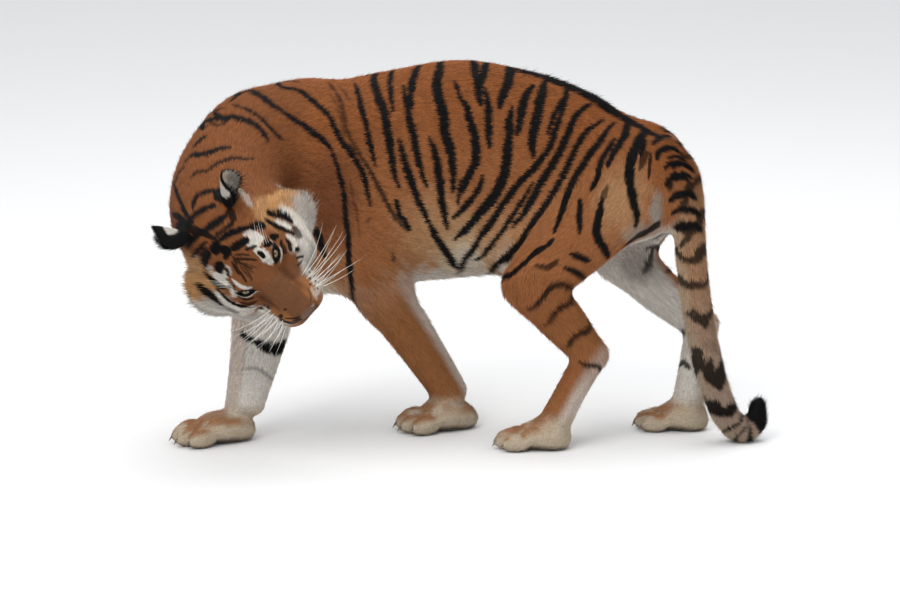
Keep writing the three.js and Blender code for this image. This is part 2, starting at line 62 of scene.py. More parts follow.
# ---------------------------------------------------------------- driving dimensions, in millimetres
# The animal's own frame: +Z up, the floor at z = 0, head towards -X, its left side towards -Y.
SHIFT = np.array([-38.9, 13.3, 0.0])      # from that frame to the part's frame
TRUNK_AXIS = 638.0
TRUNK = dict(
    rumpEnd=(532, 32, 722, 548, 74), pelvis=(452, 74, 782, 490, 118), croup=(358, 116, 847, 433, 142),
    loin=(250, 147, 892, 402, 158), belly=(40, 182, 931, 375, 170), ribs=(-150, 178, 905, 357, 172),
    shoulder=(-330, 134, 872, 342, 156), breast=(-452, 76, 842, 424, 124))
NECK = dict(
    withers=(-375, 122, 683, 130, 182, 190), base=(-472, 52, 685, 140, 184, 172), bend=(-530, -40, 652, 142, 166, 150),
    crest=(-543, -136, 612, 138, 144, 138), nape=(-522, -225, 574, 128, 126, 126))
TAIL = dict(
    root=(525, 34, 702, 50), set=(560, 8, 672, 46), upper=(581, -8, 612, 42), mid=(592, -26, 480, 40),
    lower=(610, -33, 340, 39), bend=(650, -35, 160, 38), laid=(692, -24, 62, 36), floor=(728, -12, 34, 37),
    rise=(757, -2, 50, 32), tip=(766, 0, 88, 22))
FORELEG = dict(
    left=dict(ahead=(-0.95, -0.31, 0),
              upper=((-318, 8, 566, 60, 80, 90), (-245, 34, 455, 59, 75, 88), (-165, 66, 348, 55, 64, 74)),
              fore=((-165, 66, 348, 55, 62, 72), (-85, 98, 226, 49, 54, 60), (-4, 126, 92, 45, 44, 50)),
              paw=((14, 124), (-0.95, -0.31))),
    right=dict(ahead=(-0.9, -0.44, 0),
               upper=((-470, 180, 586, 60, 80, 92), (-466, 158, 468, 60, 90, 88), (-460, 138, 345, 57, 96, 86)),
               fore=((-460, 138, 345, 57, 96, 86), (-486, 84, 225, 50, 66, 75), (-516, 30, 95, 46, 45, 58)),
               paw=((-542, 6), (-0.93, -0.37))))
HINDLEG = dict(
    left=dict(ahead=(-0.97, 0.15, 0),
              thigh=((440, -2, 640, 72, 108, 104), (322, -34, 530, 70, 106, 98), (190, -52, 410, 57, 64, 80)),
              shank=((190, -52, 410, 56, 60, 80), (266, -52, 322, 48, 54, 66), (346, -54, 232, 38, 42, 46)),
              meta=((346, -54, 232, 38, 42, 44), (302, -62, 145, 39, 41, 38), (258, -72, 60, 42, 44, 40)),
              paw=((246, -74), (-0.99, 0.05))),
    right=dict(ahead=(-0.93, 0.36, 0),
               thigh=((490, 158, 640, 72, 104, 100), (462, 170, 540, 70, 102, 100), (428, 164, 428, 57, 64, 82)),
               shank=((428, 164, 428, 56, 60, 82), (526, 150, 345, 48, 56, 64), (630, 134, 262, 38, 42, 46)),
               meta=((630, 134, 262, 38, 42, 44), (616, 124, 160, 39, 41, 38), (600, 112, 60, 42, 44, 40)),
               paw=((600, 110), (-0.99, 0.12))))
MUSCLE = dict(
    shoulderLeft=((-296, 26, 680), (108, 62, 160), (-0.88, -0.46, 0.25)),
    shoulderRight=((-400, 216, 680), (104, 62, 160), (-0.88, -0.46, 0.25)),
    withers=((-345, 124, 760), (110, 70, 92), (-0.9, -0.43, 0)),
    buttockLeft=((490, -8, 622), (66, 58, 104), (-0.88, 0.47, 0)),
    buttockRight=((524, 112, 622), (62, 58, 100), (-0.88, 0.47, 0)),
    hipLeft=((415, 34, 690), (112, 66, 88), (-0.88, 0.47, 0)),
    hipRight=((480, 150, 690), (102, 62, 86), (-0.88, 0.47, 0)),
    flank=((185, 40, 486), (110, 56, 86), (-0.96, 0.2, -0.2)))
HEAD_AT = np.array([-451.0, -340.0, 513.0])
HEAD_AHEAD = (0.627, -0.565, -0.536)
HEAD_UP = (-0.395, -0.826, 0.408)
SKULL = [((-88, 0, -28), (112, 92, 86), -8), ((-30, 0, -10), (62, 58, 36), -18), ((-12, 40, 2), (34, 26, 20), -25),
         ((-12, -40, 2), (34, 26, 20), -25), ((-34, 90, -64), (84, 60, 70), -12), ((-34, -90, -64), (84, 60, 70), -12),
         ((-88, 122, -90), (72, 62, 84), -8), ((-88, -122, -90), (72, 62, 84), -8), ((-78, 0, -120), (92, 88, 52), -8),
         ((28, 0, -112), (82, 48, 32), -8), ((82, 0, -112), (36, 31, 26), 0), ((48, 40, -78), (60, 34, 36), -12),
         ((48, -40, -78), (60, 34, 36), -12), ((94, 30, -80), (42, 35, 34), -12), ((94, -30, -80), (42, 35, 34), -12)]
BRIDGE = ((-20, 0, -26, 46, 34, 34), (40, 0, -36, 42, 32, 40), (92, 0, -50, 40, 29, 40), (118, 0, -60, 36, 26, 36))
PAW = dict(
    fore=dict(palm=((34, 0, 36), (68, 60, 42)), heel=((-18, 0, 26), (42, 44, 34)), toeX=(92, 112, 112, 92), toeY=(-46, -17, 17, 46), toe=(42, 22, 29), toeZ=24),
    hind=dict(palm=((28, 0, 33), (60, 51, 38)), heel=((-14, 0, 24), (40, 40, 32)), toeX=(78, 97, 97, 78), toeY=(-40, -15, 15, 40), toe=(38, 19, 26), toeZ=22))


# ---------------------------------------------------------------- the body as one field
def unit(a):
    a = np.asarray(a, float)
    return a / np.maximum(np.linalg.norm(a, axis=-1, keepdims=True), 1e-12)


def axes(ahead, up):
    x = unit(ahead)
    y = unit(np.cross(up, x))
    return np.stack([x, y, np.cross(x, y)])


def ramp(a, b, x):
    t = np.clip((x - a) / (b - a), 0, 1)
    return t * t * (3 - 2 * t)


def smin(a, b, k):
    h = np.maximum(k - np.abs(a - b), 0) / k
    return np.minimum(a, b) - h * h * k * 0.25


def smax(a, b, k):
    return -smin(-a, -b, k)


def spline(points, t, centripetal=True):
    P = np.asarray(points, float)
    if P.ndim == 1:
        P = P[:, None]
    n = len(P)
    q = (n - 1) * np.asarray(t, float)
    i = np.minimum(np.floor(q).astype(int), n - 2)
    w = (q - i)[:, None]
    A = np.vstack([2 * P[0] - P[1], P, 2 * P[-1] - P[-2]])
    p0, p1, p2, p3 = A[i], A[i + 1], A[i + 2], A[i + 3]
    if centripetal:
        gap = lambda a, b: np.maximum(((a - b) ** 2).sum(-1, keepdims=True) ** 0.25, 1e-4)
        d0, d1, d2 = gap(p0, p1), gap(p1, p2), gap(p2, p3)
        t1 = ((p1 - p0) / d0 - (p2 - p0) / (d0 + d1) + (p2 - p1) / d1) * d1
        t2 = ((p2 - p1) / d1 - (p3 - p1) / (d1 + d2) + (p3 - p2) / d2) * d1
    else:
        t1, t2 = (p2 - p0) * 0.5, (p3 - p1) * 0.5
    return p1 + t1 * w + (-3 * p1 + 3 * p2 - 2 * t1 - t2) * w ** 2 + (2 * p1 - 2 * p2 + t1 + t2) * w ** 3


def oval(a, b, l, w, h, e, n):
    x, y, z = np.abs(a / w), np.abs(b / h), np.abs(l / e)
    k2 = np.sqrt(x * x + y * y + z * z)
    k0 = k2 if n == 2 else (x ** n + y ** n + z ** n) ** (1.0 / n)
    k1 = np.sqrt((x / w) ** 2 + (y / h) ** 2 + (z / e) ** 2)
    return np.where(k1 < 1e-9, -np.minimum(np.minimum(w, h), e), (k0 - 1) * k2 / np.maximum(k1, 1e-9))


class Tube:
    def __init__(self, stations, ref, steps, n=2.2):
        s = np.asarray(stations, float)
        t = np.linspace(0, 1, steps + 1)
        self.P = spline(s[:, :3], t)
        self.T = unit(spline(s[:, :3], np.minimum(t + 1e-4, 1)) - spline(s[:, :3], np.maximum(t - 1e-4, 0)))
        self.S = unit(np.cross(ref, self.T))
        self.U = np.cross(self.T, self.S)
        self.R = np.concatenate([spline(s[:, c], t, False) for c in (3, 4, 5)], 1)
        self.c = self.P.mean(0)
        self.reach = (np.linalg.norm(self.P - self.c, axis=1) + self.R.max(1)).max()
        self.n = n

    def nearest(self, p):
        A, E = self.P[:-1], self.P[1:] - self.P[:-1]
        EE = (E * E).sum(1)
        q = p - self.c
        Ac = A - self.c
        pe = q @ E.T - (Ac * E).sum(1)
        t = np.clip(pe / EE, 0, 1)
        d2 = (q * q).sum(1)[:, None] - 2 * q @ Ac.T + (Ac * Ac).sum(1) - 2 * t * pe + t * t * EE
        i = d2.argmin(1)
        return i, t[np.arange(len(p)), i]

    def value(self, p):
        out = np.empty(len(p))
        for s in range(0, len(p), 40000):
            q = p[s:s + 40000]
            i, t = self.nearest(q)
            t = t[:, None]
            mix = lambda A: A[i] + (A[i + 1] - A[i]) * t
            d = q - mix(self.P)
            S, U, T, r = unit(mix(self.S)), unit(mix(self.U)), unit(mix(self.T)), mix(self.R)
            b = (d * U).sum(1)
            h = np.where(b > 0, r[:, 1], r[:, 2])
            out[s:s + 40000] = oval((d * S).sum(1), b, (d * T).sum(1), r[:, 0], h, r[:, 0] * 0.42 + (r[:, 1] + r[:, 2]) * 0.21, self.n)
        return out

    def along(self, p):
        i, t = self.nearest(p)
        return (i + t) / (len(self.P) - 1), unit(self.T[i] + (self.T[i + 1] - self.T[i]) * t[:, None])


class Blob:
    def __init__(self, c, r, basis):
        self.c, self.r, self.B = np.asarray(c, float), r, basis
        self.reach = max(r)

    def value(self, p):
        q = (p - self.c) @ self.B.T
        return oval(q[:, 1], q[:, 2], q[:, 0], self.r[1], self.r[2], self.r[0], 2)


FAR = 1e6


def total(items, p, start=None):
    f = np.full(len(p), FAR) if start is None else start.copy()
    for form, k in items:
        far = np.linalg.norm(p - form.c, axis=1) - form.reach
        m = ~((far > f + k) & (far > 0))
        if not m.any():
            continue
        v = form.value(p[m])
        g = f[m]
        f[m] = np.where(g > FAR / 2, v, smin(g, v, k))
    return f


UP = np.array([0.0, 0.0, 1.0])
six = lambda s: (s[0], s[1], s[2], s[3], s[3], s[3])
TRUNK_TUBE = Tube([(x, y, TRUNK_AXIS, w, top - TRUNK_AXIS, TRUNK_AXIS - low) for x, y, top, low, w in TRUNK.values()], UP, 30, 2.25)
NECK_TUBE = Tube(list(NECK.values()), UP, 20, 2.1)
TAIL_TUBE = Tube([six(s) for s in TAIL.values()], (0, 1, 0), 44, 2)
HB = axes(HEAD_AHEAD, HEAD_UP)
trunk_forms = [(TRUNK_TUBE, 1)] + [(Blob(c, r, axes(d, UP)), 70) for c, r, d in MUSCLE.values()]
trunk_forms += [(Tube(leg["upper"], leg["ahead"], 10), 70) for leg in FORELEG.values()]
trunk_forms += [(Tube(leg["thigh"], leg["ahead"], 12), 64) for leg in HINDLEG.values()]
leg_forms, LEG_TUBES, PAWS = [], [], []


def paw_forms(place, kind, k):
    (x, y), toward = place
    g, b, o = PAW[kind], axes((toward[0], toward[1], 0), UP), np.array([x, y, 0.0])
    out = [(Blob(o + np.dot(g["palm"][0], b), g["palm"][1], b), k), (Blob(o + np.dot(g["heel"][0], b), g["heel"][1], b), 24)]
    for tx, ty in zip(g["toeX"], g["toeY"]):
        out.append((Blob(o + np.dot((tx, ty, g["toeZ"]), b), g["toe"], axes(unit(np.dot((1, ty / 260, -0.1), b)), UP)), 9))
    PAWS.append((o, b, kind))
    return out


for leg in FORELEG.values():
    LEG_TUBES.append(Tube(leg["fore"], leg["ahead"], 12))
    leg_forms += [(LEG_TUBES[-1], 34)] + paw_forms(leg["paw"], "fore", 34)
for leg in HINDLEG.values():
    LEG_TUBES += [Tube(leg["shank"], leg["ahead"], 12), Tube(leg["meta"], leg["ahead"], 10)]
    leg_forms += [(LEG_TUBES[-2], 36), (LEG_TUBES[-1], 22)] + paw_forms(leg["paw"], "hind", 30)


def tilt(deg):
    a = math.radians(deg)
    return axes(np.dot((math.cos(a), 0, math.sin(a)), HB), HB[2])


head_forms = [(Blob(HEAD_AT + np.dot(c, HB), r, tilt(d)), 30) for c, r, d in SKULL]
head_forms.insert(4, (Tube([tuple(HEAD_AT + np.dot(s[:3], HB)) + tuple(s[3:]) for s in BRIDGE], HB[2], 12, 2.5), 26))
HEAD_MIDDLE = HEAD_AT + np.dot((-60, 0, -40), HB)


def coat_parts(p):
    """The outline of the coat, below zero inside, with the values of head, neck, trunk, tail and legs alone."""
    head = total(head_forms, p)
    neck = total([(NECK_TUBE, 90)], p)
    trunk = total(trunk_forms, p)
    near = np.linalg.norm(p - HEAD_MIDDLE, axis=1)
    body = smin(trunk, smin(head, neck, 60), 4 + 86 * ramp(210, 330, near))
    tail = total([(TAIL_TUBE, 46)], p)
    body = np.where(tail > FAR / 2, body, smin(body, tail, 46))
    legs = total(leg_forms, p)
    return total(leg_forms, p, body), head, neck, trunk, tail, legs


# ---------------------------------------------------------------- the skin's mesh
def gradient(f, p, e=0.7):
    """Value and gradient of a field from four points round p."""
    k = np.array([[1, -1, -1], [-1, -1, 1], [-1, 1, -1], [1, 1, 1]], float)
    v = f((p[:, None, :] + k * e).reshape(-1, 3)).reshape(-1, 4)
    return v.mean(1), v @ k / (4 * e)


def settle(f, p, passes=2, most=6.0):
    for _ in range(passes):
        v, g = gradient(f, p)
        s = np.clip(v / np.maximum((g * g).sum(1), 0.2), -most, most)
        p = p - g * s[:, None]
    return p


def surface(f, lo, hi, h, thick):
    """Closed mesh of the zero of field f: one point in each cell it crosses, one quad for each crossed edge."""
    b = 4
    n = [int(math.ceil((hi[i] - lo[i]) / (h * b))) for i in range(3)]
    ax = [lo[i] + (np.arange(n[i]) + 0.5) * h * b for i in range(3)]
    C = np.stack(np.meshgrid(*ax, indexing="ij"), -1).reshape(-1, 3)
    vc = f(C).reshape(n)
    act = np.abs(vc) < h * b * 0.87 * 1.25 + thick
    N = [k * b + 1 for k in n]
    V = np.full(N, 50.0)
    V[:-1, :-1, :-1] = np.where(vc < 0, -50.0, 50.0).repeat(b, 0).repeat(b, 1).repeat(b, 2)
    want = np.zeros(N, bool)
    fine = act.repeat(b, 0).repeat(b, 1).repeat(b, 2)
    for i in (0, 1):
        for j in (0, 1):
            for k in (0, 1):
                want[i:N[0] - 1 + i, j:N[1] - 1 + j, k:N[2] - 1 + k] |= fine
    idx = np.argwhere(want)
    V[want] = f(np.asarray(lo) + idx * h)
    for a in range(3):
        s = [slice(None)] * 3
        for e in (0, -1):
            s[a] = e
            V[tuple(s)] = np.maximum(V[tuple(s)], 1.0)
    inside = V < 0
    c = inside.astype(np.int8)
    S = sum(c[i:N[0] - 1 + i, j:N[1] - 1 + j, k:N[2] - 1 + k] for i in (0, 1) for j in (0, 1) for k in (0, 1))
    cells = np.argwhere((S > 0) & (S < 8))
    ident = np.full(S.shape, -1, np.int64)
    ident[tuple(cells.T)] = np.arange(len(cells))
    acc, m = np.zeros((len(cells), 3)), np.zeros(len(cells))
    for a in range(3):
        u, v = (a + 1) % 3, (a + 2) % 3
        for du in (0, 1):
            for dv in (0, 1):
                p0 = cells.copy()
                p0[:, u] += du
                p0[:, v] += dv
                p1 = p0.copy()
                p1[:, a] += 1
                fa, fb = V[tuple(p0.T)], V[tuple(p1.T)]
                x = (fa < 0) != (fb < 0)
                t = np.where(x, fa / np.where(x, fa - fb, 1), 0)
                q = p0.astype(float)
                q[:, a] += t
                acc[x] += q[x]
                m += x
    pts = np.asarray(lo) + acc / m[:, None] * h
    tris = []
    for a in range(3):
        u, v = (a + 1) % 3, (a + 2) % 3
        s0, s1 = [slice(None)] * 3, [slice(None)] * 3
        s0[a], s1[a] = slice(0, -1), slice(1, None)
        E = np.argwhere(inside[tuple(s0)] != inside[tuple(s1)])
        E = E[(E[:, u] > 0) & (E[:, v] > 0)]
        q = []
        for du, dv in ((0, 0), (-1, 0), (-1, -1), (0, -1)):
            cc = E.copy()
            cc[:, u] += du
            cc[:, v] += dv
            q.append(ident[tuple(cc.T)])
        q = np.stack(q, 1)
        flip = ~inside[tuple(E.T)]
        q[flip] = q[flip][:, ::-1]
        d = lambda i, j: ((pts[q[:, i]] - pts[q[:, j]]) ** 2).sum(1)
        short = (d(0, 2) <= d(1, 3))[:, None]
        tris.append(np.where(short, q[:, [0, 1, 2]], q[:, [0, 1, 3]]))
        tris.append(np.where(short, q[:, [0, 2, 3]], q[:, [1, 2, 3]]))
    return pts, np.concatenate(tris)


def refine(pts, tris, wanted):
    """Splits each edge whose midpoint is wanted, and the triangles on it to match."""
    e = np.concatenate([tris[:, [0, 1]], tris[:, [1, 2]], tris[:, [2, 0]]])
    key = np.sort(e, 1)
    code = key[:, 0] * (len(pts) + 1) + key[:, 1]
    uniq, first, inv = np.unique(code, return_index=True, return_inverse=True)
    ends = key[first]
    mid = (pts[ends[:, 0]] + pts[ends[:, 1]]) / 2
    cut = wanted(mid, np.linalg.norm(pts[ends[:, 0]] - pts[ends[:, 1]], axis=1))
    new = np.full(len(uniq), -1)
    new[cut] = len(pts) + np.arange(cut.sum())
    M = new[inv].reshape(3, -1).T
    pts = np.concatenate([pts, mid[cut]])
    k = (M >= 0).sum(1)
    out = [tris[k == 0]]
    roll = lambda T, m, i: (np.take_along_axis(T, (np.arange(3) + i[:, None]) % 3, 1), np.take_along_axis(m, (np.arange(3) + i[:, None]) % 3, 1))
    s = k == 1
    T, m = roll(tris[s], M[s], (M[s] >= 0).argmax(1))          # the split edge is 0-1
    out += [np.stack([T[:, 0], m[:, 0], T[:, 2]], 1), np.stack([m[:, 0], T[:, 1], T[:, 2]], 1)]
    s = k == 2
    T, m = roll(tris[s], M[s], ((M[s] < 0).argmax(1) + 1) % 3)  # the whole edge is 2-0
    out += [np.stack([m[:, 0], T[:, 1], m[:, 1]], 1), np.stack([T[:, 0], m[:, 0], m[:, 1]], 1), np.stack([T[:, 0], m[:, 1], T[:, 2]], 1)]
    s = k == 3
    T, m = tris[s], M[s]
    out += [np.stack([T[:, 0], m[:, 0], m[:, 2]], 1), np.stack([m[:, 0], T[:, 1], m[:, 1]], 1),
            np.stack([m[:, 2], m[:, 1], T[:, 2]], 1), m]
    return pts, np.concatenate(out)


# ---------------------------------------------------------------- eyes: places of the balls, and the openings in the lids
BALL = 16.5


class Eye:
    """An eye in the head's own axes: middle, the way the opening faces, along the slit from outer to inner corner, and up."""
    def __init__(self, node, axis, slit, look, up=4.4, low=5.6, half=17.5):
        a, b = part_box(node)
        self.c = ((np.array(a) + np.array(b)) * 500 - SHIFT - HEAD_AT) @ HB.T
        self.axis = unit(axis)
        s = np.array(slit, float)
        self.slit = unit(s - (s @ self.axis) * self.axis)
        h = np.cross(self.axis, self.slit)
        self.high = h if h @ np.array([-0.5, 0, 0.8]) > 0 else -h
        self.look = unit(look)
        self.up, self.low, self.half = up, low, half

    def rim(self, q):
        """Distance outside the almond opening, seen along its axis, then the place over the ball."""
        d = q - self.c
        x, y, z = d @ self.slit, d @ self.high, d @ self.axis
        arc = lambda h: (self.half ** 2 + h * h) / (2 * h)
        a, b = arc(self.up), arc(self.low)
        v = np.maximum(np.hypot(x, y + a - self.up) - a, np.hypot(x, y - b + self.low) - b)
        return np.where(z > -2, v, 99.0), x, y, z, np.linalg.norm(d, axis=1)


EYES = dict(
    left=Eye("eye_left", (0.62, 0.2, 0.76), (0.665, -0.60, -0.26), (0.60, 0.14, 0.79)),
    right=Eye("eye_right", (0.62, -0.22, 0.74), (0.62, 0.74, -0.20), (0.60, -0.10, 0.79)))
MOUTH = [[(135, 0, -84), (133, 0, -97), (127, 0, -104)]] + [
    [(127, 0, -104), (117, 19 * s, -110), (102, 34 * s, -111), (80, 45 * s, -108), (56, 53 * s, -101), (34, 58 * s, -92)] for s in (1, -1)]


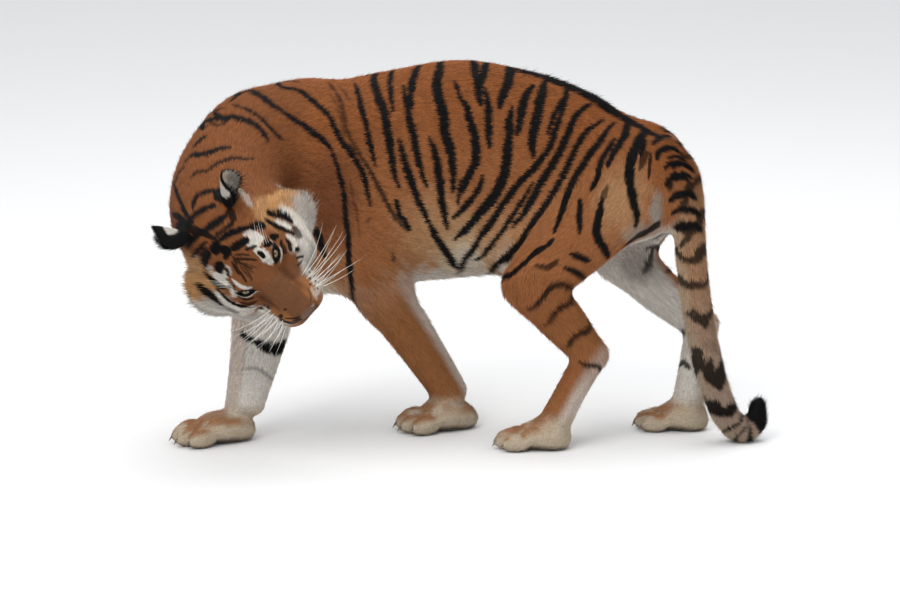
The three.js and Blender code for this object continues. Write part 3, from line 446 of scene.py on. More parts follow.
# ---------------------------------------------------------------- stripes: width in mm, strength, middle line
STRIPES = [   # on the coat's left side, in the body's frame
    (11.6, 1, [(-292, -41, 753), (-280, -42, 728), (-264, -42, 675), (-255, -44, 634), (-251, -45, 584), (-247, -41, 530), (-246, -35, 479), (-242, -21, 413), (-242, 16, 350), (-241, 57, 298)]),
    (12.4, 0.9, [(-293, -7, 828), (-280, -21, 798), (-260, -27, 762), (-232, -22, 724), (-212, -16, 686), (-200, -12, 648), (-193, -9, 610), (-188, -7, 593)]),
    (8.3, 0.75, [(-248, -23, 757), (-216, -14, 723), (-196, -9, 693), (-176, -2, 650), (-156, 5, 608), (-132, 11, 561), (-100, 20, 523)]),
    (5, 0.45, [(-240, -32, 669), (-233, -33, 623), (-223, -29, 577), (-217, -27, 518)]),
    (5, 0.4, [(-270, 50, 864), (-259, 8, 834), (-248, -10, 796), (-232, -16, 756)]),
    (5.8, 0.4, [(-295, 61, 874), (-277, 23, 852), (-262, -8, 812), (-254, -23, 766)]),
    (9.1, 0.6, [(-292, 95, 885), (-274, 61, 870), (-263, 27, 851), (-257, 4, 827), (-248, -13, 789), (-232, -16, 756), (-212, -12, 727)]),
    (7.5, 0.4, [(-274, 108, 885), (-254, 70, 869), (-245, 47, 856), (-242, 62, 862)]),
    (12.4, 1, [(-235, 126, 886), (-222, 74, 864), (-211, 31, 830), (-200, 14, 796), (-194, 4, 761), (-184, -1, 720), (-178, -2, 692)]),
    (17.4, 1, [(-188, 215, 911), (-187, 164, 899), (-186, 112, 886), (-175, 73, 860), (-160, 47, 827), (-152, 28, 789), (-144, 14, 742), (-138, 9, 702), (-132, 7, 665), (-122, 8, 636)]),
    (11.6, 1, [(-144, 209, 921), (-147, 118, 894), (-145, 79, 867), (-142, 60, 846), (-136, 46, 823)]),
    (15.8, 1, [(-74, 215, 934), (-86, 132, 908), (-93, 94, 885), (-95, 70, 861), (-91, 52, 835)]),
    (14.1, 1, [(-116, 97, 885), (-105, 59, 846), (-99, 39, 808), (-87, 24, 765), (-79, 17, 725), (-71, 13, 689), (-61, 12, 656), (-52, 12, 635)]),
    (21.6, 1, [(-23, 215, 936), (-26, 122, 914), (-32, 86, 887), (-24, 58, 850), (-14, 39, 812), (-10, 27, 773), (1, 20, 737), (7, 14, 693), (9, 13, 652), (8, 13, 623)]),
    (15.8, 1, [(-50, 25, 765), (-38, 19, 733), (-28, 14, 689), (-22, 12, 643), (-18, 13, 602), (-10, 18, 559), (-4, 23, 529)]),
    (14.9, 1, [(-123, 22, 762), (-113, 13, 718), (-101, 10, 677), (-87, 10, 636), (-71, 12, 594), (-55, 16, 559), (-46, 20, 538)]),
    (16.6, 1, [(-48, 19, 546), (-34, 27, 511), (-14, 40, 475), (5, 58, 442), (19, 84, 411)]),
    (11.6, 1, [(-131, 7, 611), (-122, 11, 573), (-108, 15, 547), (-95, 20, 527)]),
    (8.3, 0.9, [(11, 92, 896), (23, 68, 869), (31, 54, 847), (37, 48, 835)]),
    (18.2, 1, [(40, 56, 851), (47, 39, 816), (60, 25, 773), (64, 16, 734), (64, 13, 701), (51, 12, 677), (39, 12, 648), (31, 12, 623)]),
    (7.5, 0.9, [(26, 12, 660), (25, 12, 631), (20, 13, 593)]),
    (19.1, 1, [(60, 209, 933), (62, 138, 924), (70, 93, 898), (72, 66, 869), (77, 47, 838)]),
    (16.6, 1, [(94, 205, 929), (91, 155, 925), (84, 107, 908), (78, 78, 884)]),
    (14.9, 1, [(86, 76, 880), (94, 52, 847), (96, 34, 809), (96, 21, 770), (98, 14, 736)]),
    (21.6, 1, [(152, 212, 912), (146, 94, 894), (133, 64, 866), (121, 42, 832)]),
    (20.7, 1, [(154, 46, 840), (147, 29, 806), (145, 16, 767), (141, 9, 727), (137, 5, 686), (125, 5, 649), (109, 6, 616), (84, 10, 586), (64, 14, 560), (39, 21, 529), (11, 32, 498)]),
    (13.3, 1, [(82, 10, 673), (72, 9, 636), (52, 11, 606), (27, 15, 576), (7, 18, 557)]),
    (17.4, 1, [(209, 96, 887), (186, 59, 858), (177, 36, 825), (171, 22, 794), (164, 15, 769)]),
    (21.6, 1, [(240, 127, 892), (224, 56, 855), (216, 32, 822), (206, 15, 783), (202, 4, 744), (206, -2, 714)]),
    (11, 1, [(294, 118, 874), (280, 62, 850), (261, 36, 826), (249, 20, 799), (240, 9, 772)]),
    (13.9, 1, [(296, 102, 869), (283, 52, 841), (270, 26, 809), (257, 10, 776), (247, 1, 745), (229, -3, 720), (211, -4, 694), (193, -3, 676), (172, -1, 653), (150, 1, 624), (125, 3, 590), (100, 4, 549), (78, 11, 519), (53, 31, 470), (35, 67, 429), (21, 116, 388)]),
    (16.1, 1, [(353, 82, 840), (323, 48, 827), (304, 25, 806), (290, 9, 776), (275, -2, 741), (257, -7, 709), (240, -9, 681), (222, -9, 651), (204, -9, 618), (186, -11, 589), (172, -13, 568), (150, -12, 542)]),
    (10.3, 1, [(207, -6, 658), (190, -4, 628), (172, -5, 599), (150, -7, 567), (125, -6, 529), (100, 3, 494), (75, 25, 456), (57, 52, 436)]),
    (13.9, 1, [(384, 41, 808), (355, 18, 796), (333, 7, 780), (315, -5, 753), (297, -13, 718), (282, -18, 686), (261, -22, 650), (240, -26, 618), (218, -31, 590), (197, -34, 561), (172, -37, 521), (147, -27, 486), (118, -3, 448), (91, 142, 382), (80, 139, 371)]),
    (16.1, 1, [(409, 38, 802), (383, 3, 784), (364, -17, 759), (343, -24, 734), (325, -29, 706), (311, -31, 685), (296, -35, 660), (282, -44, 633), (271, -62, 600), (260, -76, 570), (247, -86, 543)]),
    (13.9, 1, [(253, -90, 536), (235, -92, 518), (206, -88, 499), (171, -89, 470), (139, -86, 440), (112, 26, 389), (101, 17, 380)]),
    (16.1, 1, [(443, 102, 799), (429, -8, 779), (410, -35, 755), (392, -49, 728), (379, -57, 701)]),
    (12.5, 1, [(405, -16, 773), (385, -36, 744), (371, -43, 723), (363, -49, 703), (356, -57, 675), (337, -64, 644)]),
    (19.8, 1, [(493, 84, 777), (468, -10, 772), (452, -45, 749), (441, -61, 727), (434, -76, 694), (437, -86, 659), (444, -93, 624), (454, -94, 588), (453, -88, 554)]),
    (10.3, 0.9, [(481, -10, 768), (468, -50, 743), (464, -60, 730)]),
    (12.5, 1, [(314, -63, 629), (313, -77, 603), (313, -93, 570), (314, -102, 546)]),
    (18.3, 1, [(368, -79, 632), (363, -89, 602), (356, -100, 568), (359, -107, 536), (377, -103, 506), (390, -80, 476)]),
    (7.3, 1, [(502, 9, 767), (534, 72, 761), (561, 34, 749), (583, 12, 728)]),
    (11, 1, [(504, -59, 723), (518, -33, 743), (540, -7, 750), (560, -10, 737)]),
    (7.3, 1, [(531, -46, 724), (557, -27, 728), (581, -25, 711)]),
    (9.5, 1, [(544, -56, 701), (564, -41, 709), (590, -27, 699), (603, -24, 682)]), (9.5, 1, [(564, -51, 692), (595, -39, 670)]),
    (6.6, 0.8, [(492, -46, 741), (487, -68, 714), (483, -84, 679)]), (14.7, 0.85, [(465, -61, 523), (493, -73, 551), (516, -74, 568)]),
    (13.2, 1, [(288, -110, 499), (313, -112, 490), (342, -106, 474)]), (12.5, 1, [(276, -112, 463), (306, -108, 449), (333, -75, 423)]),
    (11, 0.7, [(206, -106, 470), (235, -112, 464), (263, -109, 482)]), (14.7, 0.8, [(554, -55, 693), (541, -70, 671), (538, -77, 646)]),
    (12.5, 0.75, [(582, -57, 635), (571, -63, 607), (550, -67, 583)]), (12.5, 0.75, [(601, -57, 551), (580, -61, 526), (559, -50, 502)]),
    (17, 1, [(-539, 8, 858), (-520, 41, 870), (-498, 62, 877), (-472, 22, 877), (-447, -3, 866), (-423, -18, 850), (-396, -24, 834)]),
    (13.3, 1, [(-423, -18, 850), (-396, -24, 834), (-367, -32, 814), (-340, -38, 794), (-314, -41, 774), (-293, -42, 753), (-281, -42, 732)]),
    (13.9, 1, [(-432, 127, 892), (-408, 61, 885), (-379, 57, 883), (-354, 41, 873), (-327, 17, 854), (-300, -5, 833), (-282, -17, 808), (-273, -24, 786)]),
    (9.1, 0.9, [(-441, 124, 899), (-418, 141, 893), (-371, 102, 892)]),
    (7.9, 0.6, [(-300, 119, 890), (-275, 61, 870), (-262, 21, 847), (-255, -2, 818), (-249, -12, 793)]),
    (7.9, 0.9, [(-536, -5, 856), (-511, -30, 853), (-486, -45, 846), (-460, -56, 833), (-442, -65, 817), (-427, -71, 800), (-398, -72, 772)]),
    (14.5, 1, [(-581, 1, 832), (-551, -54, 830), (-527, -60, 834), (-503, -70, 830), (-479, -76, 822), (-456, -83, 805), (-441, -89, 789), (-433, -93, 774)]),
    (8.5, 0.6, [(-590, -35, 816), (-562, -75, 816), (-538, -70, 825)]), (13.3, 0.9, [(-614, 1, 802), (-601, -50, 804), (-592, -54, 809)]),
    (12.7, 0.9, [(-628, -107, 762), (-610, -98, 781), (-590, -95, 794)]),
    (13.3, 0.9, [(-647, -128, 730), (-626, -131, 752), (-604, -151, 757), (-586, -156, 762), (-560, -153, 771), (-525, -148, 776)]),
    (8.5, 0.85, [(-629, -201, 706), (-610, -198, 723), (-586, -208, 728), (-564, -197, 740), (-541, -185, 750), (-515, -175, 754), (-487, -168, 750), (-466, -153, 747)]),
    (10.9, 0.9, [(-668, -147, 683), (-661, -138, 703), (-643, -144, 727)]),
    (9.1, 0.95, [(-673, -125, 682), (-661, -188, 668), (-650, -223, 654), (-636, -257, 637), (-624, -286, 626)]),
    (9.1, 0.95, [(-612, -274, 655), (-607, -259, 676), (-589, -263, 685), (-561, -268, 692)]),
    (13.9, 1, [(-613, -295, 635), (-587, -305, 653), (-559, -308, 665)]),
    (15.1, 1, [(-672, -191, 616), (-653, -239, 616), (-632, -283, 610), (-613, -306, 618)]),
    (13.8, 1, [(-525, 45, 262), (-505, 36, 253), (-483, 35, 244)]), (22.5, 1, [(-483, 35, 244), (-458, 41, 229), (-432, 58, 212)]),
    (30, 1, [(-448, 47, 230), (-429, 61, 217), (-406, 103, 225)]),
    (15, 1, [(-329, -67, 552), (-318, -59, 523), (-313, -50, 496), (-307, -40, 469)]),
    (17.5, 0.8, [(515, -69, 557), (471, -70, 535), (425, -67, 500)]), (15, 0.75, [(516, 107, 467), (504, 101, 433), (481, 94, 401)]),
    (20, 0.8, [(618, -73, 305), (639, -65, 318), (658, -42, 293)]), (22.5, 0.8, [(622, -74, 250), (641, -71, 261), (660, -60, 241)]),
    (15, 0.5, [(616, -66, 192), (635, -74, 209), (655, -71, 198)]),
    (12.5, 1, [(496, -26, 755), (509, 3, 763), (526, 35, 763), (549, 53, 755), (569, 40, 743)]),
    (13.8, 1, [(505, -57, 724), (509, -43, 738), (522, -28, 745), (550, -7, 744), (570, -12, 730)]),
    (12.5, 1, [(526, -66, 698), (533, -57, 709), (551, -45, 713), (576, -34, 707), (596, -28, 688)]),
    (15, 1, [(527, -80, 656), (540, -69, 674), (563, -56, 681), (585, -47, 670)]),
    (17.5, 1, [(535, -79, 619), (558, -68, 634), (583, -56, 637), (606, -45, 620)]),
    (15, 0.9, [(541, -71, 585), (568, -64, 596), (596, -55, 594), (616, -43, 577)]),
    (17.5, 0.9, [(548, -53, 541), (571, -60, 555), (598, -57, 557), (622, -43, 539)]),
    (12.5, 0.6, [(365, -84, 615), (372, -78, 636), (382, -73, 660)]), (12.5, 0.7, [(461, -76, 700), (469, -65, 723), (482, -46, 744)])]
SPINE = [   # dark ridge over the spine
    (22, 0.95, [(145, 197, 916), (195, 120, 899), (231, 107, 888), (263, 116, 883), (292, 116, 874), (325, 110, 860), (354, 105, 847), (391, 118, 830), (404, 79, 815), (433, 76, 800), (462, 88, 789), (499, 92, 777), (520, 85, 768)])]
FACE_MARKS = [   # dark marks of the head, in its own axes: ahead, left, up
    (12.4, 1, [(-83, 113, 20), (-67, 119, 11), (-57, 131, 1), (-43, 136, -9), (-26, 138, -18)]),
    (13.8, 0.75, [(-19, 133, -16), (-3, 129, -19), (14, 124, -25)]),
    (9.4, 1, [(-69, 100, 25), (-53, 103, 17), (-36, 106, 8), (-20, 112, 1), (-4, 119, -9), (3, 116, -11)]),
    (14.8, 1, [(-68, 61, 52), (-63, 73, 42), (-59, 83, 32), (-48, 82, 28)]),
    (11.9, 1, [(-92, -16, 75), (-87, 11, 74), (-80, 29, 69), (-72, 50, 59), (-68, 61, 52)]),
    (6.4, 0.95, [(-105, -19, 78), (-104, 1, 80), (-100, 24, 77), (-96, 44, 71)]),
    (14.8, 1, [(-140, -37, 79), (-133, -7, 85), (-127, 18, 84), (-124, 44, 78)]),
    (9.9, 1, [(-161, -88, 47), (-150, -59, 70), (-143, -38, 79), (-135, -21, 83)]),
    (8.4, 1, [(-139, -100, 36), (-129, -76, 57), (-121, -53, 70), (-117, -35, 77)]),
    (17.8, 1, [(-97, -94, 32), (-100, -79, 48), (-99, -65, 58), (-95, -51, 65)]),
    (21.7, 1, [(-101, -27, 75), (-90, -32, 70), (-86, -48, 62)]), (16.3, 1, [(-80, -23, 69), (-65, -20, 64), (-52, -18, 58)]),
    (12.4, 1, [(-63, -30, 60), (-53, -34, 54)]), (17.8, 1, [(-60, -78, 30), (-61, -63, 42), (-59, -49, 50)]),
    (7.9, 1, [(-33, -66, 29), (-40, -57, 38), (-45, -52, 43)]),
    (4.9, 0.85, [(-44, -22, 53), (-33, -26, 47), (-23, -34, 41), (-5, -37, 31), (10, -42, 20)]),
    (3, 0.6, [(-28, -21, 45), (-6, -27, 33), (11, -28, 22)]), (3, 0.5, [(-21, -23, 41), (-6, -17, 33), (9, -13, 23)]),
    (3, 0.5, [(-18, -11, 41), (-4, -5, 32), (7, 0, 24)]), (13.8, 1, [(-57, -8, 61), (-53, 15, 59), (-50, 28, 56), (-47, 40, 51)]),
    (5.9, 0.95, [(-37, 13, 51), (-32, 24, 48), (-25, 41, 41)]), (4.4, 0.9, [(-42, -20, 53), (-27, -7, 46), (-15, 5, 39), (-2, 15, 31)]),
    (3.5, 0.8, [(-46, -15, 55), (-33, 2, 50), (-20, 12, 42)]), (3.5, 0.6, [(-37, -24, 49), (-24, -17, 44), (-11, -7, 36)]),
    (7.9, 1, [(-15, 30, 38), (-7, 33, 33), (4, 34, 26)]), (14.3, 1, [(-22, 68, 26), (-14, 60, 27), (-9, 52, 29)]),
    (9.9, 1, [(-27, 76, 23), (-24, 83, 16), (-17, 91, 9)]), (7.4, 1, [(-20, 83, 15), (-12, 76, 15)]),
    (4.9, 0.95, [(-7, 88, 5), (7, 77, 1), (21, 62, -7)]), (5.9, 0.95, [(-3, 95, 0), (8, 95, -6), (17, 87, -10), (25, 81, -17)]),
    (8.4, 1, [(26, 98, -20), (32, 91, -25)]), (4.9, 0.95, [(38, 74, -34), (40, 83, -36), (45, 90, -44)]),
    (3.5, 0.8, [(48, 65, -41), (47, 73, -45), (47, 83, -47)]),
    (10.9, 1, [(-98, -107, 21), (-82, -108, 16), (-63, -107, 12), (-46, -103, 10), (-27, -93, 9)]),
    (13.3, 1, [(-99, -133, 1), (-80, -136, -2), (-62, -138, -6), (-42, -140, -15), (-21, -142, -25)]),
    (10.9, 0.5, [(-21, -142, -25), (8, -131, -29), (25, -120, -32)]),
    (7.4, 1, [(-51, -115, 5), (-32, -114, 1), (-15, -114, -2), (5, -111, -8), (19, -103, -15), (31, -91, -24)]),
    (3, 0.9, [(4, -90, -2), (19, -79, -11), (29, -66, -22)]), (3.5, 0.8, [(14, -95, -9), (28, -87, -20), (34, -78, -29), (38, -61, -32)]),
    (2.5, 0.7, [(28, -93, -20), (39, -85, -34), (43, -71, -39)]), (4.4, 0.95, [(-29, -75, 20), (-18, -75, 17), (-7, -68, 16)]),
    (4, 0.95, [(-30, -91, 11), (-16, -83, 10), (-3, -73, 10)]), (4.9, 0.9, [(47, -71, -44), (52, -76, -53)]),
    (4.4, 0.9, [(61, -56, -41), (62, -64, -48)]), (3.5, 0.6, [(50, -61, -40), (55, -65, -46)]),
    (11.4, 0.9, [(99, -50, -43), (107, -52, -47)]), (6.9, 0.8, [(104, -29, -29), (109, -31, -31)]),
    (4.4, 0.9, [(68, 75, -67), (73, 73, -64)]), (4.4, 0.9, [(84, 67, -58), (89, 65, -55)]), (4, 0.85, [(99, 59, -52), (103, 56, -50)]),
    (3.5, 0.9, [(78, 75, -80), (85, 73, -74)]), (3.5, 0.9, [(94, 70, -69), (99, 68, -67)]), (3.5, 0.85, [(109, 61, -60), (112, 58, -59)]),
    (3, 0.9, [(98, 71, -82), (104, 69, -77)]), (3, 0.85, [(114, 62, -68), (118, 59, -66)]),
    (4, 0.9, [(102, -63, -58), (114, -57, -58), (127, -47, -58)]), (3.5, 0.85, [(131, -42, -56), (140, -30, -52), (144, -21, -51)]),
    (3.5, 0.85, [(113, -49, -49), (131, -36, -47), (142, -18, -47)]), (4, 0.9, [(-44, -30, 51), (-28, -36, 42), (-13, -42, 34)]),
    (3.5, 0.85, [(-51, -19, 57), (-39, -20, 51), (-16, -15, 39), (1, -9, 28)]),
    (13.4, 0.95, [(-199, -59, 57), (-166, -43, 77), (-141, -30, 82), (-109, -20, 79)]),
    (4.5, 0.7, [(-63, -8, 64), (-56, 11, 61), (-47, 30, 54)]), (5.7, 0.8, [(-101, -9, 78), (-102, -29, 75), (-102, -48, 68)]),
    (3.8, 0.6, [(-11, -20, 36), (5, -23, 26), (17, -31, 17)]), (4.5, 0.7, [(-3, 84, 5), (12, 78, -4), (22, 69, -12)]),
    (8.3, 0.95, [(-109, -20, 79), (-96, -20, 75), (-82, -23, 70)]), (7.7, 0.9, [(-63, -8, 64), (-60, 7, 63), (-60, 20, 62)]),
    (6.4, 0.9, [(-116, -80, 52), (-113, -64, 63), (-106, -47, 69)]), (6.4, 0.9, [(-91, -100, 25), (-98, -92, 34), (-98, -79, 47)]),
    (7, 0.95, [(-27, 72, 25), (-20, 61, 29), (-9, 49, 30)]), (4.5, 0.8, [(5, -87, -2), (22, -79, -14), (31, -62, -24)]),
    (3.8, 0.7, [(20, -90, -13), (31, -80, -25), (38, -64, -32)]), (3.2, 0.5, [(104, 47, -41), (123, 41, -47), (137, 28, -46)]),
    (9.6, 1, [(-276, -65, 8), (-249, -57, 31), (-214, -47, 55), (-201, -46, 63)]),
    (8.3, 1, [(-286, -29, 27), (-257, -31, 42), (-227, -33, 55), (-209, -37, 62)]),
    (12.8, 1, [(-203, -44, 63), (-193, -19, 76), (-181, 11, 82), (-164, 43, 78)]),
    (8.3, 1, [(-209, -12, 69), (-225, 3, 64), (-228, 26, 61), (-216, 54, 58), (-204, 68, 54)]),
    (14.7, 1, [(-211, 68, 52), (-192, 61, 61), (-174, 53, 72)]), (15.9, 1, [(-178, 54, 70), (-161, 65, 68), (-146, 76, 63)]),
    (12.8, 0.9, [(-137, 60, 72), (-116, 54, 72), (-100, 48, 71)]),
    (10.8, 1, [(-150, -36, 80), (-134, -11, 85), (-126, 25, 83), (-126, 52, 75)]),
    (7.7, 0.95, [(-112, -27, 78), (-104, 4, 80), (-100, 34, 75), (-106, 50, 72)]),
    (7, 0.9, [(96, -57, -48), (115, -56, -58), (133, -44, -64), (146, -20, -57)]),
    (15.9, 1, [(-244, -84, 10), (-206, -53, 56), (-183, -27, 78)]), (14, 0.9, [(-234, -87, 11), (-182, -52, 68), (-156, -30, 82)]),
    (11.5, 1, [(-163, -90, 45), (-153, -60, 70), (-146, -36, 80)])]
FACE_WHITE = [   # white marks of the head, the same
    (22.2, 1, [(-49, 38, 53), (-41, 54, 43), (-27, 59, 34)]), (14.8, 1, [(-45, 29, 53), (-35, 36, 47), (-24, 48, 38)]),
    (17.3, 1, [(-24, 31, 43), (-7, 36, 33), (10, 35, 22), (23, 31, 11)]), (9.9, 0.8, [(-62, 37, 59), (-58, 53, 51), (-48, 65, 40)]),
    (4.9, 1, [(2, 70, 10), (15, 62, 3), (29, 49, -6)]), (10.9, 1, [(-9, 104, 0), (7, 106, -8), (21, 101, -15), (28, 87, -21)]),
    (14.8, 1, [(-52, 112, 11), (-35, 119, 2), (-16, 124, -9)]), (5.9, 0.9, [(-21, 71, 23), (-11, 69, 20), (1, 57, 19)]),
    (27.2, 0.9, [(-71, 136, 0), (-46, 145, -16), (-21, 148, -36), (1, 144, -55), (20, 136, -58)]),
    (22.2, 0.8, [(17, 123, -27), (34, 112, -36), (45, 97, -48), (50, 85, -55)]),
    (12.4, 0.8, [(35, 88, -28), (45, 83, -44), (52, 81, -58)]), (22.2, 1, [(-68, -85, 28), (-52, -86, 21), (-34, -84, 16)]),
    (17.2, 0.95, [(-80, -93, 27), (-56, -90, 20), (-27, -83, 14)]), (9.6, 0.6, [(-30, -59, 33), (-38, -50, 42), (-48, -47, 46)]),
    (14.8, 0.9, [(-57, -80, 28), (-48, -67, 34), (-38, -75, 24)]), (7.4, 1, [(-23, -64, 27), (-8, -61, 22), (10, -55, 14), (23, -43, 7)]),
    (14.8, 1, [(-19, -88, 9), (-7, -83, 6), (2, -74, 6)]), (4, 1, [(6, -82, -1), (21, -67, -10), (27, -56, -12), (34, -45, -11)]),
    (8.4, 0.7, [(-8, -95, 3), (5, -89, -2)]), (12.4, 1, [(-49, -124, 0), (-26, -123, -5), (3, -119, -13), (26, -107, -23)]),
    (9.9, 0.95, [(22, -111, -21), (36, -94, -30), (43, -74, -40)]), (7.4, 0.7, [(10, -106, -9), (30, -97, -23)]),
    (14.8, 0.85, [(-116, -173, -50), (-81, -172, -39), (-57, -171, -48), (-31, -161, -56), (6, -140, -44)]),
    (12.4, 0.8, [(17, -130, -37), (34, -109, -34), (44, -88, -43)]), (10.9, 0.9, [(49, -81, -51), (62, -77, -70), (93, -63, -55)]),
    (6.4, 0.6, [(44, -74, -42), (56, -69, -50), (74, -63, -50)]), (13.8, 0.6, [(78, 75, -80), (107, 67, -74), (129, 47, -61)]),
    (14, 0.5, [(-178, 105, 30), (-142, 104, 37), (-109, 99, 39)]), (7.4, 0.55, [(110, 53, -50), (126, 46, -56), (138, 40, -66)]),
    (7.4, 0.6, [(88, 69, -63), (106, 61, -58)]), (9.9, 0.35, [(146, -1, -52), (147, 14, -56), (143, 30, -59)]),
    (7.4, 0.8, [(95, -68, -65), (116, -59, -65), (134, -44, -65), (145, -26, -60)]),
    (9.9, 0.6, [(-93, -96, 29), (-85, -84, 36), (-73, -77, 37)]), (7.4, 0.5, [(-131, -96, 39), (-126, -83, 51)]),
    (7.4, 0.3, [(-144, -46, 76), (-157, -74, 60)])]


# ---------------------------------------------------------------- markings
def lin(*c):
    c = np.asarray(c, float) / 255
    return np.where(c <= 0.04045, c / 12.92, ((c + 0.055) / 1.055) ** 2.4)


TINT = dict(
    back=lin(144, 84, 43), flank=lin(160, 101, 60), tan=lin(184, 142, 102), cream=lin(208, 184, 152), white=lin(214, 207, 197),
    grey=lin(160, 150, 140), dark=lin(9, 4, 2), soft=lin(58, 42, 33), neck=lin(132, 79, 43), shade=lin(112, 62, 33),
    leg=lin(158, 104, 62), inner=lin(230, 222, 212), paw=lin(206, 188, 164), rust=lin(164, 108, 64), tail=lin(172, 130, 96),
    crown=lin(131, 81, 48), bridge=lin(116, 76, 49), gold=lin(186, 140, 94), cheek=lin(182, 175, 166), lid=lin(8, 6, 6),
    skin=lin(120, 86, 66), brown=lin(80, 46, 26))

SEEDS = np.random.default_rng(11).normal(size=(6, 3))
PHASE = np.random.default_rng(12).uniform(0, 6.28, 6)


def wave(p, size, k=0):
    """A soft pattern from -1 to 1 with lumps of about that size."""
    d = unit(SEEDS) * (6.28 / size) * np.array([1, 0.83, 1.21, 0.7, 1.4, 0.95])[:, None]
    return np.sin(p @ d.T + PHASE + 2.1 * k).sum(1) / 3.2


def curve(points, fold=3):
    P = np.asarray(points, float)
    if len(P) == 2:
        return P
    return spline(P, np.linspace(0, 1, (len(P) - 1) * fold + 1))


def near_curve(q, P, n=None):
    """Distance from q to the polyline P and the share of its length there; with normals n, along the surface only."""
    best, at = np.full(len(q), 1e9), np.zeros(len(q))
    L = np.r_[0, np.cumsum(np.linalg.norm(np.diff(P, axis=0), axis=1))]
    for j in range(len(P) - 1):
        e = P[j + 1] - P[j]
        d = q - P[j]
        t = np.clip(d @ e / max(e @ e, 1e-9), 0, 1)
        d = d - t[:, None] * e
        v = (d * d).sum(1)
        if n is not None:
            h = (d * n).sum(1)
            v = v - h * h + np.maximum(np.abs(h) - 26, 0) ** 2
        m = v < best
        best[m], at[m] = v[m], ((L[j] + t * (L[j + 1] - L[j])) / L[-1])[m]
    return np.sqrt(np.maximum(best, 0)), at


def cover(p, n, strokes, soft, rough, blunt=0.4, ahead=0.0):
    """How much of each stroke covers each point: 0 to 1, with pointed ends."""
    out = np.zeros(len(p))
    for w, strength, P in strokes:
        c = P.mean(0)
        reach = np.linalg.norm(P - c, axis=1).max() + w + 32
        m = np.flatnonzero(((p - c) ** 2).sum(1) < reach * reach)
        if not len(m):
            continue
        d, s = near_curve(p[m], P, None if n is None else n[m])
        half = w * 0.5 * np.maximum(4 * s * (1 - s), 0.0) ** blunt
        v = np.clip(0.5 - (d + rough[m] * min(1.0, w / 16) - half) / soft, 0, 1) * strength
        out[m] = np.maximum(out[m], v)
    return out


def mixed(a, b, t):
    return a + (b - a) * np.asarray(t)[..., None]


def rod_colour(kind, side, s, a, b, z, wob):
    """Plain colour of the coat beside one tube: s along it, a towards the animal's left and b up or ahead, 1 at the surface."""
    T = TINT
    one = np.ones(len(s))
    if kind == "trunk":
        b = b + 0.08 * wob
        c = mixed(T["back"], T["flank"], ramp(0.8, -0.1, b))
        c = mixed(c, T["tan"], np.maximum(0.9 * ramp(0.05, -0.62, b) * ramp(0.76, 0.60, s + 0.01 * wob) * ramp(0.24, 0.36, s), ramp(-0.6, -0.84, b)))
        return mixed(c, T["white"], ramp(-0.72, -0.92, b))
    if kind == "neck":
        b = b + 0.08 * wob
        # painted shade: the neck's lower side darkened with the shade colour, above its cream and white underside
        c = mixed(T["neck"], T["shade"], ramp(0.4, -0.1, b))
        c = mixed(c, T["cream"], ramp(-0.3, -0.6, b))
        return mixed(c, T["white"], ramp(-0.55, -0.85, b))
    if kind == "tail":
        c = mixed(T["tail"], T["cream"], 0.7 * ramp(0.1, 0.8, a + 0.1 * wob))
        c = mixed(T["back"], c, ramp(0.02, 0.30, s + 0.02 * wob))
        return mixed(c, T["grey"], 0.55 * ramp(0.30, 0.6, s))
    inner = -side * a + 0.08 * wob
    if kind in ("upper", "fore"):
        front = ramp(0.85, 0.45, b + 0.05 * wob)
        if side < 0 and kind == "fore":          # the leg ahead is pale in front too
            inner = inner + 0.75 * ramp(-0.9, 0.0, b)
            front = np.maximum(front, 0.7)
        c = mixed(T["flank"] if kind == "upper" else T["leg"], T["inner"], ramp(-0.2, 0.35, inner) * front)
        if kind == "upper":
            c = mixed(c, T["leg"], ramp(0.5, 1.0, s) * ramp(0.1, -0.3, inner))
        return mixed(c, T["inner"], 0.75 * ramp(-0.35, -0.8, b) * (kind == "fore"))
    c = mixed(T["flank"], T["inner"], ramp(0.0, 0.55, inner))
    if kind != "thigh":
        c = mixed(c, T["leg"], ramp(0.1, -0.3, inner) * ramp(0.2, 1, s))
    if kind == "meta":
        c = mixed(c, T["inner"], 0.7 * ramp(0.2, -0.5, b))
    return c


TUBES = [("trunk", 0, TRUNK_TUBE, -1, 0.0), ("neck", 0, NECK_TUBE, -1, 0.0), ("tail", 0, TAIL_TUBE, 1, 0.0)]
for side, leg in FORELEG.items():
    sg = 1 if side == "left" else -1
    TUBES += [("upper", sg, Tube(leg["upper"], leg["ahead"], 10), 1, 10.0), ("fore", sg, Tube(leg["fore"], leg["ahead"], 12), 1, 0.0)]
for side, leg in HINDLEG.items():
    sg = 1 if side == "left" else -1
    TUBES += [("thigh", sg, Tube(leg["thigh"], leg["ahead"], 12), 1, 12.0), ("shank", sg, Tube(leg["shank"], leg["ahead"], 12), 1, 0.0),
              ("meta", sg, Tube(leg["meta"], leg["ahead"], 10), 1, 0.0)]


